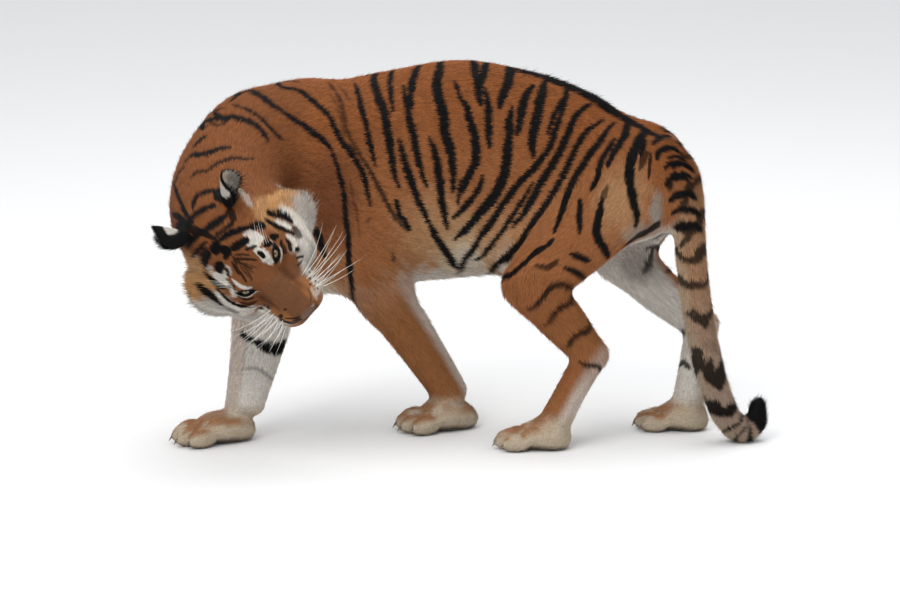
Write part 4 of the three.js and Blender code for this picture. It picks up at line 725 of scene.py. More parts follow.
def beside(tube, q):
    """Place of each point beside a tube: share along it, sideways and up as shares of the radii, how far out, direction."""
    s, a, b, out = (np.empty(len(q)) for _ in range(4))
    T = np.empty((len(q), 3))
    for k in range(0, len(q), 40000):
        c = slice(k, k + 40000)
        i, t = tube.nearest(q[c])
        tt = t[:, None]
        mix = lambda A: A[i] + (A[i + 1] - A[i]) * tt
        d = q[c] - mix(tube.P)
        r = mix(tube.R)
        x, y = (d * unit(mix(tube.S))).sum(1), (d * unit(mix(tube.U))).sum(1)
        T[c] = unit(mix(tube.T))
        l = (d * T[c]).sum(1)
        h = np.where(y > 0, r[:, 1], r[:, 2])
        s[c], a[c], b[c] = (i + t) / (len(tube.P) - 1), x / r[:, 0], y / h
        rho = np.sqrt(a[c] ** 2 + b[c] ** 2 + (l / r[:, 0]) ** 2)
        out[c] = (rho - 1) * np.minimum(r[:, 0], h)
    return s, a, b, out, T


PATCHES = [   # middle, half sizes, colour, strength: places where the coat differs from what the tubes say
    # the grey patches: pale fur of the thighs and buttocks, greyed with painted shade
    ((505, -78, 604), (20, 60, 58), "grey", 0.9), ((464, -88, 546), (50, 60, 34), "grey", 0.85), ((470, 92, 440), (95, 60, 72), "grey", 0.9),
    ((420, -100, 640), (80, 90, 120), "tan", 0.75), ((22, 50, 448), (74, 80, 96), "cream", 1.0), ((34, 60, 440), (44, 70, 60), "white", 0.6), ((-40, 20, 545), (110, 90, 110), "tan", 0.5), ((-300, 50, 470), (60, 120, 60), "tan", 0.35), ((-330, 60, 400), (100, 120, 50), "cream", 0.5),
    # painted shade: a darker patch on the shoulder, in the recess behind the cheek
    ((-300, -40, 620), (90, 120, 130), "shade", 0.8)]


def head_place(p):
    return (p - HEAD_AT) @ HB.T


def paint_head(q, wob):
    """Plain colour of the head, q in its own axes: ahead, left, up."""
    T = TINT
    x, y, z = q.T
    y = y + 8 * ramp(100, 20, x)
    ay = np.abs(y)
    c = mixed(T["crown"], T["bridge"], ramp(20, 58, x) * ramp(84, 60, ay))
    fore = np.where(y > 0, ramp(-122, -100, x + 6 * wob), 1.0)
    c = mixed(c, T["gold"], 0.80 * ramp(76, 104, ay) * ramp(-5, -60, x + 10 * wob) * fore)
    c = mixed(c, T["gold"], 0.30 * ramp(52, 84, ay) * ramp(-30, -120, x) * fore)
    edge = -34 + 18 * ramp(-40, 20, x) - 46 * ramp(-50, -92, x) + 6 * wob + np.where(y < 0, 16, 0)
    c = mixed(c, T["cheek"], ramp(78, 98, ay + 5 * wob) * ramp(edge + 13, edge - 13, z))             # ruff
    # painted shade: grey along the ruff's outer edge at the back of the head
    c = mixed(c, T["grey"], 0.55 * ramp(140, 162, ay) * ramp(-90, -50, x))
    c = mixed(c, T["cheek"], ramp(36, 54, ay) * ramp(-44, -62, z + 3 * wob) * ramp(5, 40, x))        # muzzle's side
    c = mixed(c, T["rust"], 0.80 * ramp(24, 34, ay) * ramp(66, 50, ay) * ramp(66, 82, x) * ramp(-92, -78, z))
    c = mixed(c, T["brown"], 0.7 * np.exp(-((ay - 40 + 0.12 * (x - 60)) / 8.0) ** 2) * ramp(24, 42, x) * ramp(122, 90, x))   # shade beside the bridge
    c = mixed(c, T["white"], ramp(-84, -94, z + 2 * wob) * ramp(30, 60, x))            # lips and chin
    return mixed(c, T["cheek"], ramp(-92, -112, z))                                    # throat


def settle_points(f, P, passes=6, most=25.0):
    return settle(f, np.asarray(P, float), passes, most)


def coat_value(p):
    return coat_parts(p)[0]


def far_side(P):
    """The same stroke on the animal's other side, laid on the coat there, or none if it runs along the middle."""
    tube = min((TRUNK_TUBE, NECK_TUBE), key=lambda t: beside(t, P)[3].mean())
    s, a, b, out, T = beside(tube, P)
    if a.mean() < 0.12 or out.mean() > 80 or P[:, 2].mean() < 300:
        return None
    i, t = tube.nearest(P)
    mix = lambda A: A[i] + (A[i + 1] - A[i]) * t[:, None]
    S = unit(mix(tube.S))
    d = ((P - mix(tube.P)) * S).sum(1)
    keep = d > -12
    Q = P - 2 * d[:, None] * S + unit(mix(tube.T)) * 11
    return Q[keep] if keep.sum() > 1 else None


NEAR = [(w * 1.08 + 1.4, min(1.0, k + 0.1), curve(P, 3)) for w, k, P in STRIPES]
FAR_STRIPES = []
for w, k, P in STRIPES:
    Q = far_side(np.asarray(P, float))
    if Q is not None:
        FAR_STRIPES.append((w * 1.08 + 1.4, min(1.0, k + 0.1), curve(settle_points(coat_value, Q), 3)))
FACE = [(w * 1.45 if w > 12 else w * 1.25 + 1.2, k, curve(P, 2)) for w, k, P in FACE_MARKS]
for w, k, P in ((9, 0.9, [(-108, 150, -30), (-98, 172, -70), (-70, 176, -104)]), (8, 0.8, [(-132, 132, -62), (-120, 150, -100), (-92, 150, -132)])):
    for s in (1, -1):          # dark bars on the back of each cheek
        Q = settle_points(coat_value, HEAD_AT + (np.array(P, float) * (1, s, 1)) @ HB)
        FACE.append((w, k, curve((Q - HEAD_AT) @ HB.T, 3)))
PALE = [(w * 1.12, k, curve(P, 2)) for w, k, P in FACE_WHITE]
top = TRUNK_TUBE.P + TRUNK_TUBE.U * TRUNK_TUBE.R[:, 1:2]
top = top[(top[:, 0] > 120) & (top[:, 0] < 545) & (TRUNK_TUBE.U[:, 2] > 0.2)]
RIDGE = [(54, 1.0, curve(settle_points(coat_value, top), 3))]     # dark ridge over the spine
EXTRA = [   # bars on the legs that no flank stripe reaches: width, strength, tube, places along it, about it
    (15, 1.0, "fore", -1, [(0.02, -0.35, 0.9), (0.02, 0.6, 0.65), (0.08, 0.95, 0.1), (0.14, 0.85, -0.6), (0.05, 0.45, -1.0), (0.0, -0.2, -1.0)])]
FAR_FACE = 0


def leg_bars():
    out = []
    rng = np.random.default_rng(5)
    for kind, sg, tube, way, bias in TUBES:
        rows = dict(upper=3, fore=3, thigh=0, shank=3, meta=3).get(kind, 0)
        if kind == "upper" and sg == 1:
            rows = 2
        for k in range(rows):
            s = (k + 0.6) / (rows + 0.3) + rng.uniform(-0.05, 0.05)
            inward = rng.uniform(0.5, 1.0)
            if kind == "fore":       # faint bars on the inner side, toward the back
                turn = np.linspace(math.pi * 0.25, math.pi * 0.95, 7)
                w, k1 = rng.uniform(7, 10), 0.5
            elif kind == "upper":
                turn = np.linspace(math.pi * 0.1, math.pi * 0.9, 7)
                w, k1 = rng.uniform(9, 13), 0.85
            else:                    # outer side bars
                turn = np.linspace(-math.pi * 0.35, -math.pi * 1.1, 8) if rng.uniform() < 0.75 else np.linspace(0.2, 1.6, 6)
                w, k1 = rng.uniform(11, 15), 0.9
            i = min(int(s * (len(tube.P) - 1)), len(tube.P) - 2)
            P0, S, U, R = tube.P[i], tube.S[i], tube.U[i], tube.R[i]
            pts = []
            for j, th in enumerate(turn):      # th from the front round the inner side
                cs, sn = math.cos(th), math.sin(th)
                up = R[1] if cs > 0 else R[2]
                pts.append(P0 + U * cs * up - S * sg * sn * R[0] + tube.T[i] * (6 * math.sin(j * 1.3 + k)))
            out.append((w, k1, curve(settle_points(coat_value, pts), 2)))
    return out


BARS = leg_bars()


def tail_marks(p, wob):
    """Rings of the tail, which run together into a dark tip."""
    s, a, b, out, dirn = beside(TAIL_TUBE, p)
    turn = np.arctan2(b, a)
    k = s * 14.0 + 0.16 * np.sin(2 * turn + 5 * s) + 0.09 * wob + 0.25 * np.sin(s * 17)
    f = np.abs((k % 1) - 0.5) * 2
    wide = 0.34 + 0.10 * np.sin(s * 23 + 1) + 0.08 * ramp(0.45, 0.8, s) + 0.05 * wob
    gap = 0.16 * ramp(0.55, 1.0, a + 0.2 * np.sin(s * 31)) * ramp(0.85, 0.7, s)
    band = np.clip((wide - gap - f) / 0.10 + 0.5, 0, 1) * ramp(0.03, 0.10, s) * (0.88 + 0.12 * ramp(0.4, 0.7, s))
    return np.maximum(band, ramp(0.838, 0.862, s + 0.006 * wob))


def plain_coat(p, n, v):
    """Colour of the coat at points p without its dark marks, the way the hair lies, and how far the head's rules hold there."""
    T = TINT
    w5 = np.exp(-(v - v.min(1, keepdims=True)) / 10)
    w5 /= w5.sum(1, keepdims=True)
    wob = wave(p, 46) + 0.5 * wave(p, 17, 1)
    total_w, colour, lie = np.zeros(len(p)), np.zeros((len(p), 3)), np.zeros((len(p), 3))
    for kind, sg, tube, way, bias in TUBES:
        m = np.flatnonzero(np.linalg.norm(p - tube.c, axis=1) < tube.reach + 30)
        if not len(m):
            continue
        s, a, b, out, dirn = beside(tube, p[m])
        group = {"trunk": 2, "neck": 1, "tail": 3, "upper": 2, "thigh": 2}.get(kind, 4)
        w = np.exp(-(np.maximum(out, -40) + bias) / 20) * (w5[m, group] + 1e-4)
        colour[m] += rod_colour(kind, sg, s, a, b, p[m, 2], wob[m]) * w[:, None]
        lie[m] += dirn * (way * w)[:, None]
        total_w[m] += w
    colour /= np.maximum(total_w, 1e-12)[:, None]
    colour[total_w < 1e-9] = T["flank"]
    for o, b, kind in PAWS:
        q = (p - o) @ b.T
        t = ramp(105, 60, p[:, 2]) * ramp(190, 150, np.linalg.norm(q - (30, 0, 0), axis=1)) * w5[:, 4]
        top = mixed(T["paw"], T["rust"], 0.85 * ramp(0.2, 0.8, n[:, 2]) * ramp(-0.6, 0.5, wave(p, 60, 3) + 0.4))
        c = mixed(top, T["soft"], 0.8 * ramp(-0.3, -0.8, n[:, 2]) * ramp(30, 12, p[:, 2]))
        colour = mixed(colour, c, t)
        lie = mixed(lie, (b[0] * 0.9 + np.array([0, 0, -0.35])) * np.maximum(total_w, 1e-6)[:, None], t)
    for c, r, name, k in PATCHES:
        d = np.linalg.norm((p - c) / r, axis=1) + 0.12 * wob
        colour = mixed(colour, T[name], k * ramp(1.2, 0.35, d) * (1 - w5[:, 0]) * (1 - w5[:, 3]))
    q = head_place(p)
    hd = ramp(0.25, 0.75, w5[:, 0])
    face = np.flatnonzero(hd > 0.001)
    colour[face] = mixed(colour[face], paint_head(q[face], wob[face]), hd[face])
    lie = unit(lie)
    away = unit(q - (150, -4, -46)) @ HB
    return colour, mixed(lie, away, hd), hd


def dark_marks(colour, p, n, v, hd, jit=0.0):
    """The coat's stripes laid over its plain colour, and how dark they leave each point."""
    T = TINT
    q = head_place(p)
    rough = 0.9 * wave(p, 13, 2) + 1.1 * wave(p, 34, 4) - 1.2 + jit
    dark = cover(p, n, NEAR, 1.8, rough)
    dark = np.maximum(dark, cover(p, n, FAR_STRIPES, 1.8, rough))
    dark = np.maximum(dark, cover(p, n, BARS, 4.0, rough))
    dark = np.maximum(dark, cover(p, n, RIDGE, 8.0, rough * 3))
    dark *= 1 - hd * ramp(-125, -85, q[:, 0])
    m = np.flatnonzero(v[:, 3] < v.min(1) + 14)
    if len(m):
        t = ramp(14, 4, v[m, 3] - v[m].min(1))
        dark[m] = np.maximum(dark[m] * (1 - 0.8 * t * ramp(430, 380, p[m, 2])), tail_marks(p[m], wave(p[m], 46) + 0.5 * wave(p[m], 17, 1)) * t)
    colour = mixed(colour, T["dark"], dark)
    near = np.flatnonzero(np.linalg.norm(q - (-30, 0, -40), axis=1) < 235)
    if len(near):
        fr = 0.75 * wave(p[near], 8, 2) - 0.5 + 0.5 * (jit[near] if np.ndim(jit) else jit)
        nh = n[near] @ HB.T
        for s, at, size in ((1, (-92, 112, 4), (44, 44, 44)), (-1, (-122, -104, 8), (62, 44, 44))):      # golden ruff below the ear's base
            d = np.linalg.norm((q[near] - at) / size, axis=1) + 0.1 * wave(p[near], 24, 3)
            colour[near] = mixed(colour[near], T["gold"], 0.8 * ramp(1.1, 0.6, d)[:, None][:, 0] * (1 - dark[near]))
        w = cover(q[near], nh, PALE, 3.5, fr * 2.2 + 0.6 * wave(p[near], 14, 5), 0.3)
        k = cover(q[near], nh, FACE, 1.3, fr, 0.3)
        c = mixed(colour[near], T["white"], w)
        c = mixed(c, T["dark"], k)
        for e in EYES.values():
            r = e.rim(q[near])
            c = mixed(c, T["lid"], ramp(6.2, 4.2, r[0] + fr))
        colour[near] = c
        dark[near] = np.maximum(dark[near], k)
    return colour, dark


def markings(p, n, v):
    """The coat's whole colour at points p with surface normals n; v holds the field's parts there."""
    colour, lie, hd = plain_coat(p, n, v)
    colour, dark = dark_marks(colour, p, n, v, hd)
    return colour, lie, dark, hd


# ---------------------------------------------------------------- the skin
def parts_of(p):
    head = total(head_forms, p)
    neck = total([(NECK_TUBE, 90)], p)
    trunk = total(trunk_forms, p)
    near = np.linalg.norm(p - HEAD_MIDDLE, axis=1)
    f = smin(trunk, smin(head, neck, 60), 4 + 86 * ramp(210, 330, near))
    tail = total([(TAIL_TUBE, 46)], p)
    f = np.where(tail > FAR / 2, f, smin(f, tail, 46))
    legs = total(leg_forms, p)
    return smin(f, legs, 34), np.stack([head, neck, trunk, tail, legs], 1)


def coat_depth(v, p, q):
    """How far the skin lies under the coat's outline."""
    w = np.exp(-(v - v.min(1, keepdims=True)) / 12.0)
    w /= w.sum(1, keepdims=True)
    x, y, z = q.T
    ay = np.abs(y)
    head = 3.2 + 2.5 * ramp(10, -110, x) + 9 * ramp(66, 116, ay) * ramp(60, 0, x) + 5 * ramp(-90, -130, z) * ramp(70, 20, x)
    z = p[:, 2]
    d = np.stack([head, np.full(len(p), 7.5), 7 + 3 * ramp(520, 430, z), np.full(len(p), 7.5), 4.0 + 3.0 * ramp(70, 330, z)], 1)
    return (w * d).sum(1)


MOUTH_LINES = [curve(m, 4) for m in MOUTH]


def skin_value(p, whole=False):
    f, v = parts_of(p)
    q = head_place(p)
    f = f + coat_depth(v, p, q)
    m = np.flatnonzero((np.abs(q - (40, 0, -45)) < (120, 100, 110)).all(1))
    if len(m):
        h, g = q[m], f[m]
        for e in EYES.values():
            rim, x, y, z, r = e.rim(h)
            k = np.flatnonzero(r < 60)
            if len(k):
                lid = r[k] - 19.4 - 1.6 * ramp(9, 3, np.abs(rim[k])) + 3.0 * ramp(-2, -12, z[k])
                t = smin(g[k], lid, 10)
                brow = np.linalg.norm((h[k] - e.c - e.high * 21 - e.axis * 9) / (17, 22, 12), axis=1) * 14 - 14
                t = smin(t, brow, 14)
                g[k] = smax(t, -np.maximum(rim[k], 15.2 - r[k]), 1.6)
        g = smax(g, -(np.linalg.norm((h - (150, 0, -66)) / (20, 17, 13), axis=1) * 14 - 14), 4)      # seat of the nose leather
        for line in MOUTH_LINES:
            k = np.flatnonzero(np.linalg.norm(h - line.mean(0), axis=1) < 70)
            if len(k):
                d, s = near_curve(h[k], line)
                g[k] = smax(g[k], -(d - 2.6 * (1 - 0.6 * s ** 3)), 3.0)
        f[m] = g
    for o, b, kind in PAWS:                     # clefts between the toes
        t = (p - o) @ b.T
        k = np.flatnonzero((t[:, 0] > 50) & (t[:, 0] < 170) & (np.abs(t[:, 1]) < 90) & (t[:, 2] < 80))
        if len(k):
            gy = (-31.5, 0, 31.5) if kind == "fore" else (-27.5, 0, 27.5)
            for y in gy:
                d = np.abs(t[k, 1] - y * (1 + (t[k, 0] - 92) / 260)) - 1.2
                f[k] = smax(f[k], -np.maximum(d, 66 - t[k, 0]), 3.0)
    f = smax(f, 1.0 - p[:, 2], 1.5)
    return (f, v, q) if whole else f


def normals_of(pts, tris):
    a, b, c = pts[tris[:, 0]], pts[tris[:, 1]], pts[tris[:, 2]]
    g = np.cross(b - a, c - a)
    n = np.zeros_like(pts)
    for k in range(3):
        for j in range(3):
            n[:, j] += np.bincount(tris[:, k], g[:, j], len(pts))
    return unit(n)


def make_skin():
    lo = np.array(CAD_BOX[0]) * 1000 - SHIFT - 6
    hi = np.array(CAD_BOX[1]) * 1000 - SHIFT + 6
    pts, tris = surface(skin_value, lo, hi, CELL, 32)
    pts = settle(skin_value, pts, 1)
    steps = [lambda m, l: ((np.linalg.norm(head_place(m) - (-20, 0, -40), axis=1) < 165) & (l > 4.4)) | ((m[:, 2] < 80) & (l > 5.5)),
             lambda m, l: (head_place(m)[:, 0] > -40) & (np.linalg.norm(head_place(m) - (40, 0, -40), axis=1) < 110) & (l > 3.2),
             lambda m, l: near_eyes(m, 27) & (l > 2.0)]
    for wanted in steps:
        k = len(pts)
        pts, tris = refine(pts, tris, wanted)
        new = np.zeros(len(pts), bool)
        new[k:] = True
        new |= near_eyes(pts, 30)
        pts[new] = settle(skin_value, pts[new], 2, 3.0)
    return pts, tris


def near_eyes(p, r):
    q = head_place(p)
    out = np.zeros(len(p), bool)
    for e in EYES.values():
        out |= np.linalg.norm(q - e.c, axis=1) < r
    return out


EARS = dict(left=((-148, 106, 82), (-0.38, 0.42, 0.82), (0.663, 0.739, -0.071)), right=((-187, -107, 80), (-0.72, -0.24, 0.65), (0.203, -0.97, -0.132)))
EAR_SIZE = (5.5, 41.0, 47.0)          # half thickness, width and height of the skin of an ear
EAR_CUP = 38.0
SPOT = dict(left=(0.95, 0.22, 0.52), right=(0.56, 0.12, 0.38))      # white spot behind each ear: half width, height, half height


def ear_point(u, side):
    """From the unit ball (x: the way the ear faces, z: to its tip) to the ear, in the body's frame, with its axes."""
    at, up, face = EARS[side]
    B = axes(face, up)
    x, y, z = u.T
    cup = EAR_CUP * (1 - y * y) * (0.85 - 0.3 * z)
    q = np.stack([x * EAR_SIZE[0] - cup, y * EAR_SIZE[1] * (1 - 0.16 * z), z * EAR_SIZE[2]], 1)
    return HEAD_AT + (np.array(at, float) + q @ B) @ HB, B @ HB


def make_ear(side, rows=30, cols=44):
    th = np.linspace(0, math.pi, rows + 1)[1:-1]
    ph = np.linspace(0, 2 * math.pi, cols, endpoint=False)
    u = np.stack([np.outer(np.sin(th), np.cos(ph)), np.outer(np.sin(th), np.sin(ph)), np.outer(np.cos(th), np.ones(cols))], -1).reshape(-1, 3)
    u = np.concatenate([u, [[0, 0, 1], [0, 0, -1]]])
    top, low = len(u) - 2, len(u) - 1
    tris = []
    for i in range(rows - 2):
        for j in range(cols):
            a, b = i * cols + j, i * cols + (j + 1) % cols
            tris += [(a, a + cols, b), (b, a + cols, b + cols)]
    for j in range(cols):
        tris += [(top, j, (j + 1) % cols), (low, (rows - 2) * cols + (j + 1) % cols, (rows - 2) * cols + j)]
    return u, ear_point(u, side)[0], np.array(tris)


def ear_paint(u, wob, spot):
    T = TINT
    x, y, z = u.T
    c = np.tile(T["dark"], (len(u), 1))
    wide, high, tall = spot
    spot = np.hypot(y / wide, (z - high) / tall) + 0.08 * wob
    c = mixed(c, T["white"], ramp(1.06, 0.9, spot) * (x < 0))
    inside = mixed(np.tile(T["cream"], (len(u), 1)), T["white"], 0.4 + 0.6 * ramp(0.2, 0.8, np.abs(y)))
    edge = np.hypot(y / 0.9, z / 0.93)
    return mixed(c, inside, ramp(0.02, 0.12, x) * ramp(1.0, 0.93, edge))


# ---------------------------------------------------------------- the coat: tufts on the skin
def scatter(pts, tris, count, rng, dens=None):
    """Roots spread evenly over the triangles: positions, triangle of each, shares of its corners."""
    a, b, c = pts[tris[:, 0]], pts[tris[:, 1]], pts[tris[:, 2]]
    area = np.linalg.norm(np.cross(b - a, c - a), axis=1) / 2
    if dens is not None:
        area = area * dens
    cum = np.cumsum(area)
    k = (np.arange(count) + rng.uniform(0, 1, count)) / count * cum[-1]
    t = np.minimum(np.searchsorted(cum, k), len(tris) - 1)
    u, v = rng.uniform(0, 1, (2, count))
    flip = u + v > 1
    u[flip], v[flip] = 1 - u[flip], 1 - v[flip]
    w = np.stack([1 - u - v, u, v], 1)
    return (pts[tris[t]] * w[:, :, None]).sum(1), t, w


def tufts(root, nrm, lie, length, width, lift, shades, uv, fine):
    """Closed tapered locks. Returns vertices, faces, colours and normals of vertices, and the map of each face corner."""
    n = len(root)
    L, W = length[:, None], width[:, None]
    side = unit(np.cross(nrm, lie))
    ca, sa = np.cos(lift)[:, None], np.sin(lift)[:, None]
    ring = [(-0.5, 0.0), (0.5, 0.0), (0.0, 0.42)]
    rows = [(0.0, 0.86)] if fine else [(0.0, 0.8), (0.5, 1.0)]
    V, N, C = [], [], []
    for t, s in rows:
        mid = root + lie * (L * t * ca) + nrm * (L * sa * (1.25 * t) - 0.5 * (t == 0))
        for x, y in ring:
            V.append(mid + side * (W * s * x) + nrm * (W * s * y))
            N.append(unit(nrm * 0.78 + side * (x * 1.0) + nrm * (y * 0.7)))
            C.append(shades[0 if t == 0 else 1])
    V.append(root + lie * (L * ca) + nrm * (L * sa * 1.02))
    N.append(unit(nrm * 0.8 + lie * 0.35))
    C.append(shades[-1])
    k = len(V)
    V, N, C = (np.stack(x, 1).reshape(-1, 3) for x in (V, N, C))
    if fine:
        F = [(0, 2, 1), (0, 1, 3), (1, 2, 3), (2, 0, 3)]
        M = [((0, 0), (1.5, -.3), (3, 0)), ((0, 0), (1, 0), (.5, 3)), ((1, 0), (2, 0), (1.5, 3)), ((2, 0), (3, 0), (2.5, 3))]
    else:
        F, M = [(0, 2, 1)], [((0, 0), (1.5, -.3), (3, 0))]
        for i in range(3):
            j = (i + 1) % 3
            F += [(i, j, j + 3), (i, j + 3, i + 3), (i + 3, j + 3, 6)]
            M += [((i, 0), (i + 1, 0), (i + 1, 1.5)), ((i, 0), (i + 1, 1.5), (i, 1.5)), ((i, 1.5), (i + 1, 1.5), (i + .5, 3))]
    F = np.array(F)
    a, b, c = V.reshape(n, k, 3)[:, F[-1, 0]], V.reshape(n, k, 3)[:, F[-1, 1]], V.reshape(n, k, 3)[:, F[-1, 2]]
    out = np.cross(b - a, c - a)
    mid = (a + b + c) / 3 - (V.reshape(n, k, 3)[:, :3].mean(1) + V.reshape(n, k, 3)[:, -1]) / 2
    if ((out * mid).sum(1) < 0).mean() > 0.5:
        F = F[:, ::-1]
        M = [m[::-1] for m in M]
    faces = (F[None] + np.arange(n)[:, None, None] * k).reshape(-1, 3)
    UV = (uv[:, None, None, :] + np.array(M, float)[None] * 0.001).reshape(-1, 2)
    V[:, 2] = np.maximum(V[:, 2], 0.4)
    return V, faces, C, N, UV


def put_mesh(name, V, F, colour, mat, normals=None, uv=None, smooth=True):
    """A mesh in metres in the part's frame, with its colours in the attribute Coat."""
    me = bpy.data.meshes.new(name)
    V = (V + SHIFT) / 1000
    me.vertices.add(len(V))
    me.vertices.foreach_set("co", V.astype(np.float32).ravel())
    me.loops.add(F.size)
    me.loops.foreach_set("vertex_index", F.astype(np.int32).ravel())
    me.polygons.add(len(F))
    me.polygons.foreach_set("loop_start", np.arange(0, F.size, F.shape[1], dtype=np.int32))
    me.polygons.foreach_set("use_smooth", np.full(len(F), smooth))
    me.update(calc_edges=True)
    if colour is not None:
        layer = me.attributes.new("Coat", "FLOAT_COLOR", "POINT")
        layer.data.foreach_set("color", np.c_[colour, np.ones(len(colour))].astype(np.float32).ravel())
    if uv is not None:
        me.uv_layers.new(name="OFBake").data.foreach_set("uv", uv.astype(np.float32).ravel())
    if normals is not None:
        me.normals_split_custom_set_from_vertices(normals.astype(np.float32))
    me.materials.append(mat)
    ob = bpy.data.objects.new(name, me)
    bpy.context.scene.collection.objects.link(ob)
    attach(ob, "root")
    return ob


# ---------------------------------------------------------------- materials
def material(name, rough, sheen=0.0, coat=0.0, spec=0.35, bump=None, attribute="Coat", tone=0.16, grain=140.0, subsurface=0.0):
    """Colour from the markings, varied by fine noise; bump = (strength, scale, distance in metres)."""
    m = bpy.data.materials.new(name)
    m.use_nodes = True
    N, L = m.node_tree.nodes, m.node_tree.links
    b = N["Principled BSDF"]
    b.inputs["Roughness"].default_value = rough
    b.inputs["Specular IOR Level"].default_value = spec
    b.inputs["Sheen Weight"].default_value = sheen
    b.inputs["Sheen Roughness"].default_value = 0.5
    b.inputs["Coat Weight"].default_value = coat
    b.inputs["Coat Roughness"].default_value = 0.04
    a = N.new("ShaderNodeAttribute")
    a.attribute_name = attribute
    co = N.new("ShaderNodeTexCoord")
    n1 = N.new("ShaderNodeTexNoise")
    n1.inputs["Scale"].default_value = grain
    n1.inputs["Detail"].default_value = 4.0
    L.new(co.outputs["Object"], n1.inputs["Vector"])
    r = N.new("ShaderNodeMapRange")
    r.inputs["From Min"].default_value, r.inputs["From Max"].default_value = 0.3, 0.7
    r.inputs["To Min"].default_value, r.inputs["To Max"].default_value = 1 - tone, 1 + tone
    L.new(n1.outputs["Fac"], r.inputs["Value"])
    mul = N.new("ShaderNodeVectorMath")
    mul.operation = "SCALE"
    L.new(a.outputs["Color"], mul.inputs[0])
    L.new(r.outputs["Result"], mul.inputs["Scale"])
    L.new(mul.outputs["Vector"], b.inputs["Base Color"])
    rr = N.new("ShaderNodeMapRange")
    rr.inputs["To Min"].default_value, rr.inputs["To Max"].default_value = rough - 0.07, min(1.0, rough + 0.09)
    n2 = N.new("ShaderNodeTexNoise")
    n2.inputs["Scale"].default_value = grain * 0.37
    L.new(co.outputs["Object"], n2.inputs["Vector"])
    L.new(n2.outputs["Fac"], rr.inputs["Value"])
    L.new(rr.outputs["Result"], b.inputs["Roughness"])
    if bump:
        k = N.new("ShaderNodeTexNoise")
        k.inputs["Scale"].default_value = bump[1]
        k.inputs["Detail"].default_value = 3.0
        L.new(co.outputs["Object"], k.inputs["Vector"])
        bp = N.new("ShaderNodeBump")
        bp.inputs["Strength"].default_value = bump[0]
        bp.inputs["Distance"].default_value = bump[2]
        L.new(k.outputs["Fac"], bp.inputs["Height"])
        L.new(bp.outputs["Normal"], b.inputs["Normal"])
    return m


MAT_SKIN = material("hide_skin", 0.72, bump=(0.6, 420.0, 0.0012), tone=0.12, grain=260.0, spec=0.25)
MAT_COAT = material("coat_body", 0.66, sheen=0.02, spec=0.12, tone=0.16, grain=190.0)
MAT_HEAD = material("coat_head", 0.70, sheen=0.01, spec=0.10, tone=0.12, grain=420.0)
MAT_LEGS = material("coat_legs", 0.68, sheen=0.02, spec=0.12, tone=0.16, grain=320.0)
MAT_TAIL = material("coat_tail", 0.66, sheen=0.02, spec=0.12, tone=0.16, grain=190.0)
MAT_EYE = material("eye_gloss", 0.22, coat=1.0, spec=0.5, tone=0.10, grain=900.0)
MAT_NOSE = material("nose_leather", 0.48, coat=0.15, spec=0.45, tone=0.22, grain=520.0, bump=(0.8, 1500.0, 0.0006))
MAT_CLAW = material("claw_horn", 0.34, coat=0.2, spec=0.5, tone=0.2, grain=700.0, bump=(0.3, 900.0, 0.0003))
MAT_WHISKER = material("whisker_hair", 0.4, spec=0.5, tone=0.05, grain=300.0)


# ---------------------------------------------------------------- skin, with the ears joined to it
pts, tris = make_skin()
nrm = normals_of(pts, tris)
f, v, hq = skin_value(pts, True)
skin_colour, _, _, _ = markings(pts, nrm, v)
mouth = np.full(len(pts), 99.0)
near = np.flatnonzero(np.linalg.norm(hq - (80, 0, -90), axis=1) < 110)
for line in MOUTH_LINES:
    mouth[near] = np.minimum(mouth[near], near_curve(hq[near], line)[0])
skin_colour = mixed(skin_colour * 0.86, TINT["lid"], ramp(4.6, 3.0, mouth))
sole = np.zeros(len(pts))
for o, b, kind in PAWS:
    q = (pts - o) @ b.T
    sole = np.maximum(sole, (np.linalg.norm(q, axis=1) < 190) * ramp(7, 3, pts[:, 2]))
skin_colour = mixed(skin_colour, lin(38, 30, 28), sole * 0.9)
count = len(pts)
V, F, C, ears = [pts], [tris], [skin_colour], {}
for side in EARS:
    u, P, T3 = make_ear(side)
    k = 10 if side == "left" else 20
    g = normals_of(P, T3)
    if ((P - P.mean(0)) * g).sum() < 0:
        T3 = T3[:, ::-1]
        g = -g
    ears[side] = (u, P, T3, g)
    V.append(P)
    F.append(T3 + count)
    C.append(ear_paint(u, wave(P, 12, k), SPOT[side]) * 0.9)
    count += len(P)
skin = put_mesh("hide", np.concatenate(V), np.concatenate(F), np.concatenate(C), MAT_SKIN)
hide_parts(*[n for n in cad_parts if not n.startswith(("eye", "nose"))])
print("skin", len(pts), sum(len(x) for x in F))

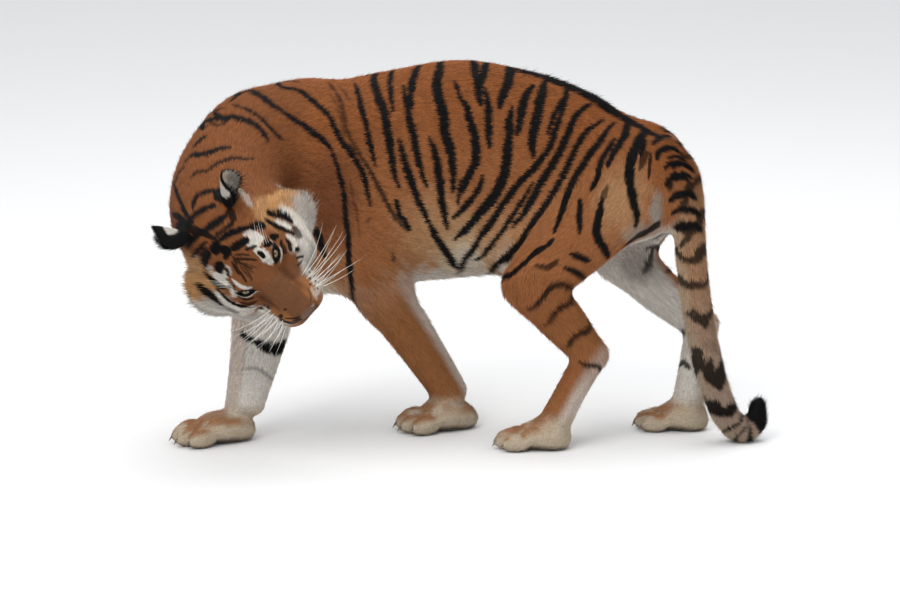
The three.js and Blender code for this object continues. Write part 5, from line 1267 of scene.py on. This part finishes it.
# ---------------------------------------------------------------- coat
mid = pts[tris].mean(1)
tv = v[tris].mean(1)
label = tv.argmin(1)                   # head, neck, trunk, tail, legs
hm = head_place(mid)
along = np.zeros(len(mid))
trunk_t = np.flatnonzero(label == 2)
along[trunk_t] = beside(TRUNK_TUBE, mid[trunk_t])[0]
front_leg = mid[:, 0] < 120
bare = np.zeros(len(mid), bool)
for e in EYES.values():
    bare |= (e.rim(hm)[0] < 1.2) & (e.rim(hm)[4] < 34)
bare |= np.linalg.norm((hm - (140, 0, -64)) / (17, 19, 16), axis=1) < 1
mm = mouth[tris].mean(1)
bare |= mm < 2.4
bare |= (mid[:, 2] < 5) & (label == 4)
face = (label == 0) & (hm[:, 0] > -62) & (np.linalg.norm(hm - (40, 0, -30), axis=1) < 150)
PIECES = [   # name, triangles, tufts, fine, slot, material
    ("coat_rear", (label == 2) & (along < 0.33), 44000, True, "coat_body", MAT_COAT),
    ("coat_middle", (label == 2) & (along >= 0.33) & (along < 0.64), 44000, True, "coat_body", MAT_COAT),
    ("coat_front", (label == 2) & (along >= 0.64), 44000, True, "coat_body", MAT_COAT),
    ("coat_neck", label == 1, 38000, True, "coat_body", MAT_COAT),
    ("coat_face", face, 44000, True, "coat_head", MAT_HEAD),
    ("coat_crown", (label == 0) & ~face, 41000, True, "coat_head", MAT_HEAD),
    ("coat_forelegs", (label == 4) & front_leg, 37000, True, "coat_legs", MAT_LEGS),
    ("coat_hindlegs", (label == 4) & ~front_leg, 37000, True, "coat_legs", MAT_LEGS),
    ("coat_tail", label == 3, 26000, True, "coat_tail", MAT_TAIL)]


def unwrap(name, p):
    """A place on an unwrap of the skin for each root: along and about the tube it is on, or round the skull."""
    if name in ("coat_rear", "coat_middle", "coat_front", "coat_neck", "coat_tail"):
        tube = dict(coat_neck=NECK_TUBE, coat_tail=TAIL_TUBE).get(name, TRUNK_TUBE)
        s, a, b, out, T = beside(tube, p)
        u = np.arctan2(a, -b) / (2 * math.pi) + 0.5
        s = (s - s.min()) / max(s.max() - s.min(), 1e-6)
    elif name in ("coat_forelegs", "coat_hindlegs"):
        legs = [x for x in TUBES if x[0] in (("upper", "fore") if name == "coat_forelegs" else ("thigh", "shank", "meta"))]
        u, s, best = np.zeros(len(p)), np.zeros(len(p)), np.full(len(p), 1e9)
        for k, (kind, sg, tube, way, bias) in enumerate(legs):
            t, a, b, out, T = beside(tube, p)
            m = out < best
            best[m] = out[m]
            u[m] = ((k + 0.02 + 0.96 * (np.arctan2(a, -b) / (2 * math.pi) + 0.5)) / len(legs))[m]
            s[m] = t[m]
    else:
        q = head_place(p) - (-30, 0, -40)
        u = np.arctan2(q[:, 1], -q[:, 2]) / (2 * math.pi) + 0.5
        s = np.arctan2(np.hypot(q[:, 1], q[:, 2]), q[:, 0]) / math.pi
    return np.stack([0.006 + 0.985 * np.clip(u, 0, 1), 0.006 + 0.985 * np.clip(s, 0, 1)], 1)


def grow(name, root, n, vv, fine, rng):
    """Length, width, lift, lie and colours of the tufts at these roots."""
    q = head_place(root)
    colour, lie, hd = plain_coat(root, n, vv)
    nn = (n * lie).sum(1)
    lie = unit(lie - nn[:, None] * n)
    sway = np.stack([wave(root, 55, 5), wave(root, 55, 6), wave(root, 55, 7)], 1) * 0.10 + np.stack([wave(root, 21, 8), wave(root, 21, 9), wave(root, 21, 10)], 1) * 0.09
    sway += rng.normal(0, 0.075, (len(root), 3))
    x, y, z = q.T
    ay = np.abs(y)
    one = np.ones(len(root))
    ridge = cover(root, n, RIDGE, 20.0, np.zeros(len(root)))
    snout = 6.0 + 4.5 * ramp(15, -55, x) + 5 * ramp(58, 96, ay) + 3.0 * ramp(-86, -104, z) * ramp(110, 60, x)
    snout = snout * (0.62 + 0.38 * ramp(14, 30, np.minimum(np.linalg.norm(q - EYES["left"].c, axis=1), np.linalg.norm(q - EYES["right"].c, axis=1))))
    ruff = ramp(80, 122, ay) * np.where(y > 0, ramp(-112, -62, x), ramp(-150, -110, x))
    crown = 11 + 26 * ruff + 5 * ramp(-60, -140, x) + 10 * ramp(-70, -130, z)
    t = ramp(-30, -85, x)
    of_head = snout * (1 - t) + crown * t
    of_part = np.stack([of_head, 16 + 12 * ramp(560, 480, root[:, 2]), 14.5 + 9 * ramp(470, 420, root[:, 2]), 19 * one, 9 + 11 * ramp(90, 320, root[:, 2])], 1)
    share = np.exp(-(vv - vv.min(1, keepdims=True)) / 18)
    share /= share.sum(1, keepdims=True)
    L = (share * of_part).sum(1)
    if name == "coat_face":
        W = 1.15 + 0.07 * L
        lift = np.radians(13 + 9 * ramp(70, 100, ay))
    elif name == "coat_crown":
        W = 1.9 + 0.045 * L
        lift = np.radians(12 + 17 * ramp(88, 128, ay)) + rng.normal(0, 0.10, len(root)) * ramp(88, 120, ay)
    elif name == "coat_forelegs" or name == "coat_hindlegs":
        W = 1.8 + 0.06 * L
        lift = np.radians(17.0) * one
    else:
        W = (3.3 if name == "coat_tail" else 2.8) * one
        lift = np.radians(21.0 if name == "coat_tail" else 11.5) * one
    L = L + 9 * ridge * (hd < 0.5)
    lift = lift + np.radians(11) * ridge * (hd < 0.5)
    L *= rng.uniform(0.78, 1.18, len(root))
    W *= rng.uniform(0.75, 1.2, len(root))
    stray = rng.uniform(0, 1, len(root)) < (0.0 if name == "coat_face" else 0.07)
    L = L * np.where(stray, 1.25, 1.0)
    lift = lift + rng.normal(0, 0.06, len(root)) + 0.05 * wave(root, 30, 11) + np.where(stray, 0.22, 0.0)
    lift = np.clip(lift, 0.05, 0.9)
    lie = lie + sway * (0.55 if fine else 1.0)
    lie = unit(lie - (n * lie).sum(1)[:, None] * n)
    if THIN < 1:
        W = W / math.sqrt(THIN)
    tone = (rng.normal(1.0, 0.12, len(root)) + 0.05 * wave(root, 26, 12))[:, None]
    warm = rng.normal(0.0, 0.035, len(root))[:, None] * np.array([0.6, 0, -1.0])
    shades, jit = [], rng.normal(0, 0.8, len(root))
    streak = 1 + (rng.normal(0, 0.13, len(root)) + 0.10 * wave(root, 12, 14)) * hd * ramp(74, 98, ay)
    # painted shade: each tuft's colour darker toward its root than at its tip, as shade deep in the coat
    for t, k in ((0.45, 0.72), (0.72, 1.10)):
        at = root + lie * (L * t * np.cos(lift))[:, None]
        c, dark = dark_marks(colour * streak[:, None], at, n, vv, hd, jit)
        shades.append(np.clip(c * (tone * (1 + warm)) * k, 0.002, 1))
    return L, W, lift, lie, shades


EDGE_V = normals_of(pts, tris)
for name, mask, n_tufts, fine, slot, mat in PIECES:
    rng = np.random.default_rng(sum(map(ord, name)))
    sub = np.flatnonzero(mask & ~bare)
    n_tufts = int(n_tufts * THIN)
    dens = None
    if name == "coat_face":
        r = np.minimum(np.linalg.norm(hm[sub] - EYES["left"].c, axis=1), np.linalg.norm(hm[sub] - EYES["right"].c, axis=1))
        dens = 1.0 + 0.9 * ramp(60, 25, r) + 0.3 * ramp(40, 90, hm[sub, 0])
    root, t, w = scatter(pts, tris[sub], n_tufts, rng, dens)
    pick = tris[sub][t]
    n = unit((EDGE_V[pick] * w[:, :, None]).sum(1))
    vv = (v[pick] * w[:, :, None]).sum(1)
    L, W, lift, lie, shades = grow(name, root, n, vv, fine, rng)
    V, F, C, N, UV = tufts(root, n, lie, L, W, lift, shades, unwrap(name, root), fine)
    ob = put_mesh(name, V, F, C, mat, N, UV)
    print(name, len(F))

# ---------------------------------------------------------------- coat of the ears
V, F, C, N, UV, base = [], [], [], [], [], 0
for k, (side, (u, P, T3, g)) in enumerate(ears.items()):
    rng = np.random.default_rng(40 + k)
    B = ear_point(u[:1], side)[1]
    root, t, w = scatter(P, T3, int(6500 * THIN), rng)
    uu = (u[T3[t]] * w[:, :, None]).sum(1)
    n = unit((g[T3[t]] * w[:, :, None]).sum(1))
    x, y, z = uu.T
    inside = x > 0.03
    lie = B[2] + B[1] * (0.55 * y)[:, None]
    fringe = inside * ramp(0.25, 0.75, np.abs(y)) * ramp(0.75, 0.2, z)
    sweep = B[2] * 0.75 + B[0] * 0.55 - B[1] * (0.5 * np.sign(y))[:, None]
    lie = np.where(fringe[:, None] > 0.3, sweep, lie) + rng.normal(0, 0.14, (len(root), 3))
    lie = unit(lie - (n * lie).sum(1)[:, None] * n)
    L = (7.5 + 3 * ramp(-0.3, -1, z) + 19 * fringe + 3.0 * inside) * rng.uniform(0.75, 1.2, len(root))
    W = (1.5 + 0.5 * fringe) * rng.uniform(0.8, 1.2, len(root)) / math.sqrt(THIN)
    lift = np.radians(14 + 26 * fringe) + rng.normal(0, 0.06, len(root))
    colour = np.clip(ear_paint(uu, wave(root, 12, 10 + 10 * k), SPOT[side]) * rng.normal(1, 0.09, (len(root), 1)), 0.003, 1)
    uv = np.stack([0.01 + 0.48 * (k + np.arctan2(y, x) / (2 * math.pi) + 0.5), 0.01 + 0.98 * np.arccos(np.clip(z, -1, 1)) / math.pi], 1)
    # painted shade: ear tufts darker at the root than at the tip
    a, b, c, d, e = tufts(root, n, lie, L, W, lift, [colour * 0.6, colour], uv, True)
    V.append(a)
    F.append(b + base)
    C.append(c)
    N.append(d)
    UV.append(e)
    base += len(a)
put_mesh("coat_ears", np.concatenate(V), np.concatenate(F), np.concatenate(C), MAT_HEAD, np.concatenate(N), np.concatenate(UV))


# ---------------------------------------------------------------- eyes
def grid_faces(rows, cols):
    i, j = np.meshgrid(np.arange(rows - 1), np.arange(cols), indexing="ij")
    a, b = i * cols + j, i * cols + (j + 1) % cols
    return np.concatenate([np.stack([a, a + cols, b], -1).reshape(-1, 3), np.stack([b, a + cols, b + cols], -1).reshape(-1, 3)])


for side, e in EYES.items():
    cols, inner = 72, 26
    th = np.r_[np.linspace(0.006, math.radians(40), inner), np.linspace(math.radians(44), math.pi - 0.02, 22)]
    ph = np.linspace(0, 2 * math.pi, cols, endpoint=False)
    lx = unit(np.cross(e.look, (0.2, 0.1, 1)))
    ly = np.cross(e.look, lx)
    r = BALL + 1.5 * np.clip(1 - (th / math.radians(38)) ** 2, 0, 1) ** 1.5
    d = e.look * np.cos(th)[:, None, None] + (lx * np.cos(ph)[:, None] + ly * np.sin(ph)[:, None]) * np.sin(th)[:, None, None]
    q = (e.c + d * r[:, None, None]).reshape(-1, 3)
    deg = np.degrees(np.repeat(th, cols))
    turn = np.tile(ph, len(th))
    streak = 0.5 + 0.5 * np.sin(turn * 23 + 2 * np.sin(turn * 7)) * np.sin(turn * 11 + 1)
    # iris in its own amber and grey-green, held darker as painted shade of the lids
    c = mixed(np.tile(lin(150, 122, 62), (len(q), 1)), lin(138, 144, 112), ramp(10, 21, deg))
    c = c * (0.78 + 0.34 * streak * ramp(9, 18, deg))[:, None]
    c = mixed(c, lin(62, 58, 40), ramp(27, 32, deg))
    c = mixed(c, lin(92, 78, 66), ramp(34, 38, deg))
    c = mixed(c, lin(6, 6, 7), ramp(9.4, 8.2, deg))
    P = HEAD_AT + q @ HB
    faces = grid_faces(len(th), cols)
    n0, n1 = len(P), len(P) + 1
    P = np.concatenate([P, [HEAD_AT + (e.c + e.look * (BALL + 1.5)) @ HB, HEAD_AT + (e.c - e.look * BALL) @ HB]])
    c = np.concatenate([c, [lin(6, 6, 7), lin(92, 78, 66)]])
    j = np.arange(cols)
    last = (len(th) - 1) * cols
    faces = np.concatenate([faces, np.stack([np.full(cols, n0), j, (j + 1) % cols], 1), np.stack([np.full(cols, n1), last + (j + 1) % cols, last + j], 1)])
    g = normals_of(P, faces)
    if ((P - P.mean(0)) * g).sum() < 0:
        faces = faces[:, ::-1]
    ob = put_mesh(f"eyeball_{side}", P, faces, np.clip(c, 0.002, 1), MAT_EYE)
    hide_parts(f"eye_{side}")

# ---------------------------------------------------------------- nose leather
NB = tilt(-30)
NOSE_AT = HEAD_AT + np.dot((137, 0, -62), HB)


def nose_value(p):
    q = (p - NOSE_AT) @ NB.T
    x, y, z = q.T
    ay = np.abs(y)
    ell = lambda c, r: (np.linalg.norm((np.stack([x, ay, z], 1) - c) / r, axis=1) - 1) * min(r)
    f = smin(ell((-2, 0, 5), (10, 20, 9)), ell((-1, 0, -5), (10, 12, 11)), 6)
    f = smin(f, ell((-1, 13, -2), (9, 8, 9)), 5)
    f = smax(f, -ell((9, 8.5, -2), (7, 4.0, 3.6)), 2.0)
    f = smax(f, -ell((4, 16, -4), (9, 6, 1.7)), 1.5)
    groove = np.maximum(np.abs(y) - 0.9, z + 2)
    return smax(f, -np.maximum(groove, 7 - x), 2.5)


P, T3 = surface(nose_value, NOSE_AT - 30, NOSE_AT + 30, 1.5, 6)
P = settle(nose_value, P, 2, 2.0)
q = (P - NOSE_AT) @ NB.T
c = mixed(np.tile(lin(92, 60, 45), (len(P), 1)), lin(60, 40, 32), np.clip(0.35 + 0.5 * wave(P, 9, 3), 0, 1) * 0.6)
c = mixed(c, lin(40, 26, 24), ramp(14, 19, np.abs(q[:, 1])) * 0.8)
c = mixed(c, lin(16, 10, 10), ramp(1.3, 0.6, np.abs(np.linalg.norm((np.stack([q[:, 0], np.abs(q[:, 1]), q[:, 2]], 1) - (9, 8.5, -2)) / (7, 4, 3.6), axis=1))))
nose = put_mesh("nose_leather", P, T3, c, MAT_NOSE)
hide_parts("nose")


# ---------------------------------------------------------------- whiskers and claws
def tapered(line, radii, sides, flat=None):
    """A closed tapered tube along a line; flat squeezes it along that direction."""
    P = np.asarray(line, float)
    T = unit(np.gradient(P, axis=0))
    ref = np.array([0.3, 0.2, 1.0]) if flat is None else flat
    S = unit(np.cross(ref, T))
    U = np.cross(T, S)
    a = np.linspace(0, 2 * math.pi, sides, endpoint=False)
    r = np.asarray(radii, float).reshape(len(P), -1)
    rs, ru = r[:, 0], r[:, -1]
    V = P[:, None] + S[:, None] * (np.cos(a)[None, :, None] * rs[:, None, None]) + U[:, None] * (np.sin(a)[None, :, None] * ru[:, None, None])
    V = np.concatenate([V.reshape(-1, 3), P[:1], P[-1:] + T[-1:] * rs[-1]])
    n0, n1 = len(V) - 2, len(V) - 1
    j = np.arange(sides)
    last = (len(P) - 1) * sides
    F = np.concatenate([grid_faces(len(P), sides), np.stack([np.full(sides, n0), j, (j + 1) % sides], 1),
                        np.stack([np.full(sides, n1), last + (j + 1) % sides, last + j], 1)])
    return V, (F if ((V - V.mean(0)) * normals_of(V, F)).sum() > 0 else F[:, ::-1])


V, F, C, base = [], [], [], 0
rng = np.random.default_rng(21)
for s in (1, -1):
    for row in range(4):
        for col in range(3 if row % 2 else 4):
            x = 106 - 12 * col - 2 * row + rng.uniform(-1.5, 1.5)
            P0 = HEAD_AT + np.dot((x, s * 47, -64 - 8.0 * row + 2.0 * col), HB)
            P0 = settle(skin_value, P0[None], 6, 12.0)[0]
            d = unit(np.array([0.42 - 0.13 * col + rng.uniform(-.08, .08), s * 1.0, 0.42 - 0.2 * row + rng.uniform(-.12, .12)]))
            bend = np.array([-0.30, 0.0, -0.16 - 0.08 * row]) + rng.uniform(-.07, .07, 3)
            length = (150 - 18 * abs(col - 2.2) - 9 * row) * rng.uniform(0.82, 1.1)
            t = np.linspace(0, 1, 13)[:, None]
            line = P0 + ((d * t + bend * t * t) * length) @ HB - (d @ HB) * 3
            a, b = tapered(line, 0.62 * (1 - t[:, 0]) ** 0.8 + 0.1, 5)
            V.append(a)
            F.append(b + base)
            C.append(np.tile(lin(240, 236, 228), (len(a), 1)))
            base += len(a)
    for k in range(5):
        P0 = HEAD_AT + (EYES["left" if s > 0 else "right"].c + np.array([-14 - 4 * k, s * (4 - 5 * k), 16])) @ HB
        P0 = settle(skin_value, P0[None], 6, 12.0)[0]
        d = unit(np.array([0.1 - 0.15 * k, s * (0.25 + 0.12 * k), 1.0]))
        t = np.linspace(0, 1, 9)[:, None]
        line = P0 + ((d * t + np.array([-0.35, s * 0.2, -0.1]) * t * t) * rng.uniform(40, 62)) @ HB
        a, b = tapered(line, 0.5 * (1 - t[:, 0]) ** 0.8 + 0.1, 4)
        V.append(a)
        F.append(b + base)
        C.append(np.tile(lin(236, 230, 220), (len(a), 1)))
        base += len(a)
put_mesh("whiskers", np.concatenate(V), np.concatenate(F), np.concatenate(C), MAT_WHISKER)

V, F, C, base = [], [], [], 0
for o, b, kind in PAWS:
    g = PAW[kind]
    for tx, ty in zip(g["toeX"], g["toeY"]):
        out = unit(np.array([1, ty / 260, 0.0]))
        tip = np.array([tx, ty, 0.0]) + out * (g["toe"][0] - 4)
        t = np.linspace(0, 1, 9)
        line = np.stack([tip[0] + out[0] * (-9 + 19 * t), tip[1] + out[1] * (-9 + 19 * t), 25 - 3 * t - 15 * t ** 2.2], 1)
        P, T3 = tapered(o + line @ b, np.stack([2.6 * (1 - t) ** 0.7 + 0.35, 4.2 * (1 - t) ** 0.6 + 0.35], 1), 10)
        V.append(P)
        F.append(T3 + base)
        shade = np.r_[np.repeat(t, 10), 0, 1]
        C.append(mixed(np.tile(lin(52, 42, 36), (len(P), 1)), lin(128, 112, 96), shade ** 2))
        base += len(P)
put_mesh("claws", np.concatenate(V), np.concatenate(F), np.concatenate(C), MAT_CLAW)

# ---------------------------------------------------------------- floor, light and camera
def plain(name, colour, scale, rough=0.9):
    m = bpy.data.materials.new(name)
    m.use_nodes = True
    N, L = m.node_tree.nodes, m.node_tree.links
    n = N.new("ShaderNodeTexNoise")
    n.inputs["Scale"].default_value = scale
    c = N.new("ShaderNodeMapRange")
    c.inputs["To Min"].default_value, c.inputs["To Max"].default_value = colour - 0.01, colour + 0.01
    L.new(n.outputs["Fac"], c.inputs["Value"])
    L.new(c.outputs["Result"], N["Principled BSDF"].inputs["Base Color"])
    N["Principled BSDF"].inputs["Roughness"].default_value = rough
    return m


me = bpy.data.meshes.new("floor")
me.from_pydata([(-40, -40, 0), (40, -40, 0), (40, 60, 0), (-40, 60, 0)], [], [(0, 1, 2, 3)])
me.materials.append(plain("floor_pale", 0.86, 3.0))
floor = bpy.data.objects.new("floor", me)
bpy.context.scene.collection.objects.link(floor)

scene = bpy.context.scene
world = bpy.data.worlds.new("studio")
world.use_nodes = True
world.node_tree.nodes["Background"].inputs["Color"].default_value = (0.96, 0.98, 1.0, 1)
world.node_tree.nodes["Background"].inputs["Strength"].default_value = 0.80
scene.world = world
scene.view_settings.view_transform = "Standard"


def lamp(name, at, to, size, power, colour=(1, 1, 1)):
    d = bpy.data.lights.new(name, "AREA")
    d.size, d.energy, d.color = size, power, colour
    o = bpy.data.objects.new(name, d)
    o.location = at
    o.rotation_euler = (Vector(to) - Vector(at)).to_track_quat("-Z", "Y").to_euler()
    scene.collection.objects.link(o)


lamp("key", (-2.6, -4.2, 5.2), (0, 0, 0.5), 4.0, 190, (1.0, 0.985, 0.96))
lamp("top", (0.6, 0.6, 5.0), (0, 0, 0.4), 4.5, 130)

LOOK_AT, DISTANCE, DOWN, FOCAL = np.array([0, 0.1, 0.323]), 9.0, math.radians(13), 3600.0
way = np.array([0, math.cos(DOWN), -math.sin(DOWN)])
cam = bpy.data.cameras.new("camera")
cam.sensor_width = 36
cam.lens = FOCAL / 900 * 36
cam.clip_end = 200
ob = bpy.data.objects.new("camera", cam)
ob.location = LOOK_AT - way * DISTANCE + SHIFT / 1000
ob.rotation_euler = Vector(way).to_track_quat("-Z", "Y").to_euler()
scene.collection.objects.link(ob)
scene.camera = ob
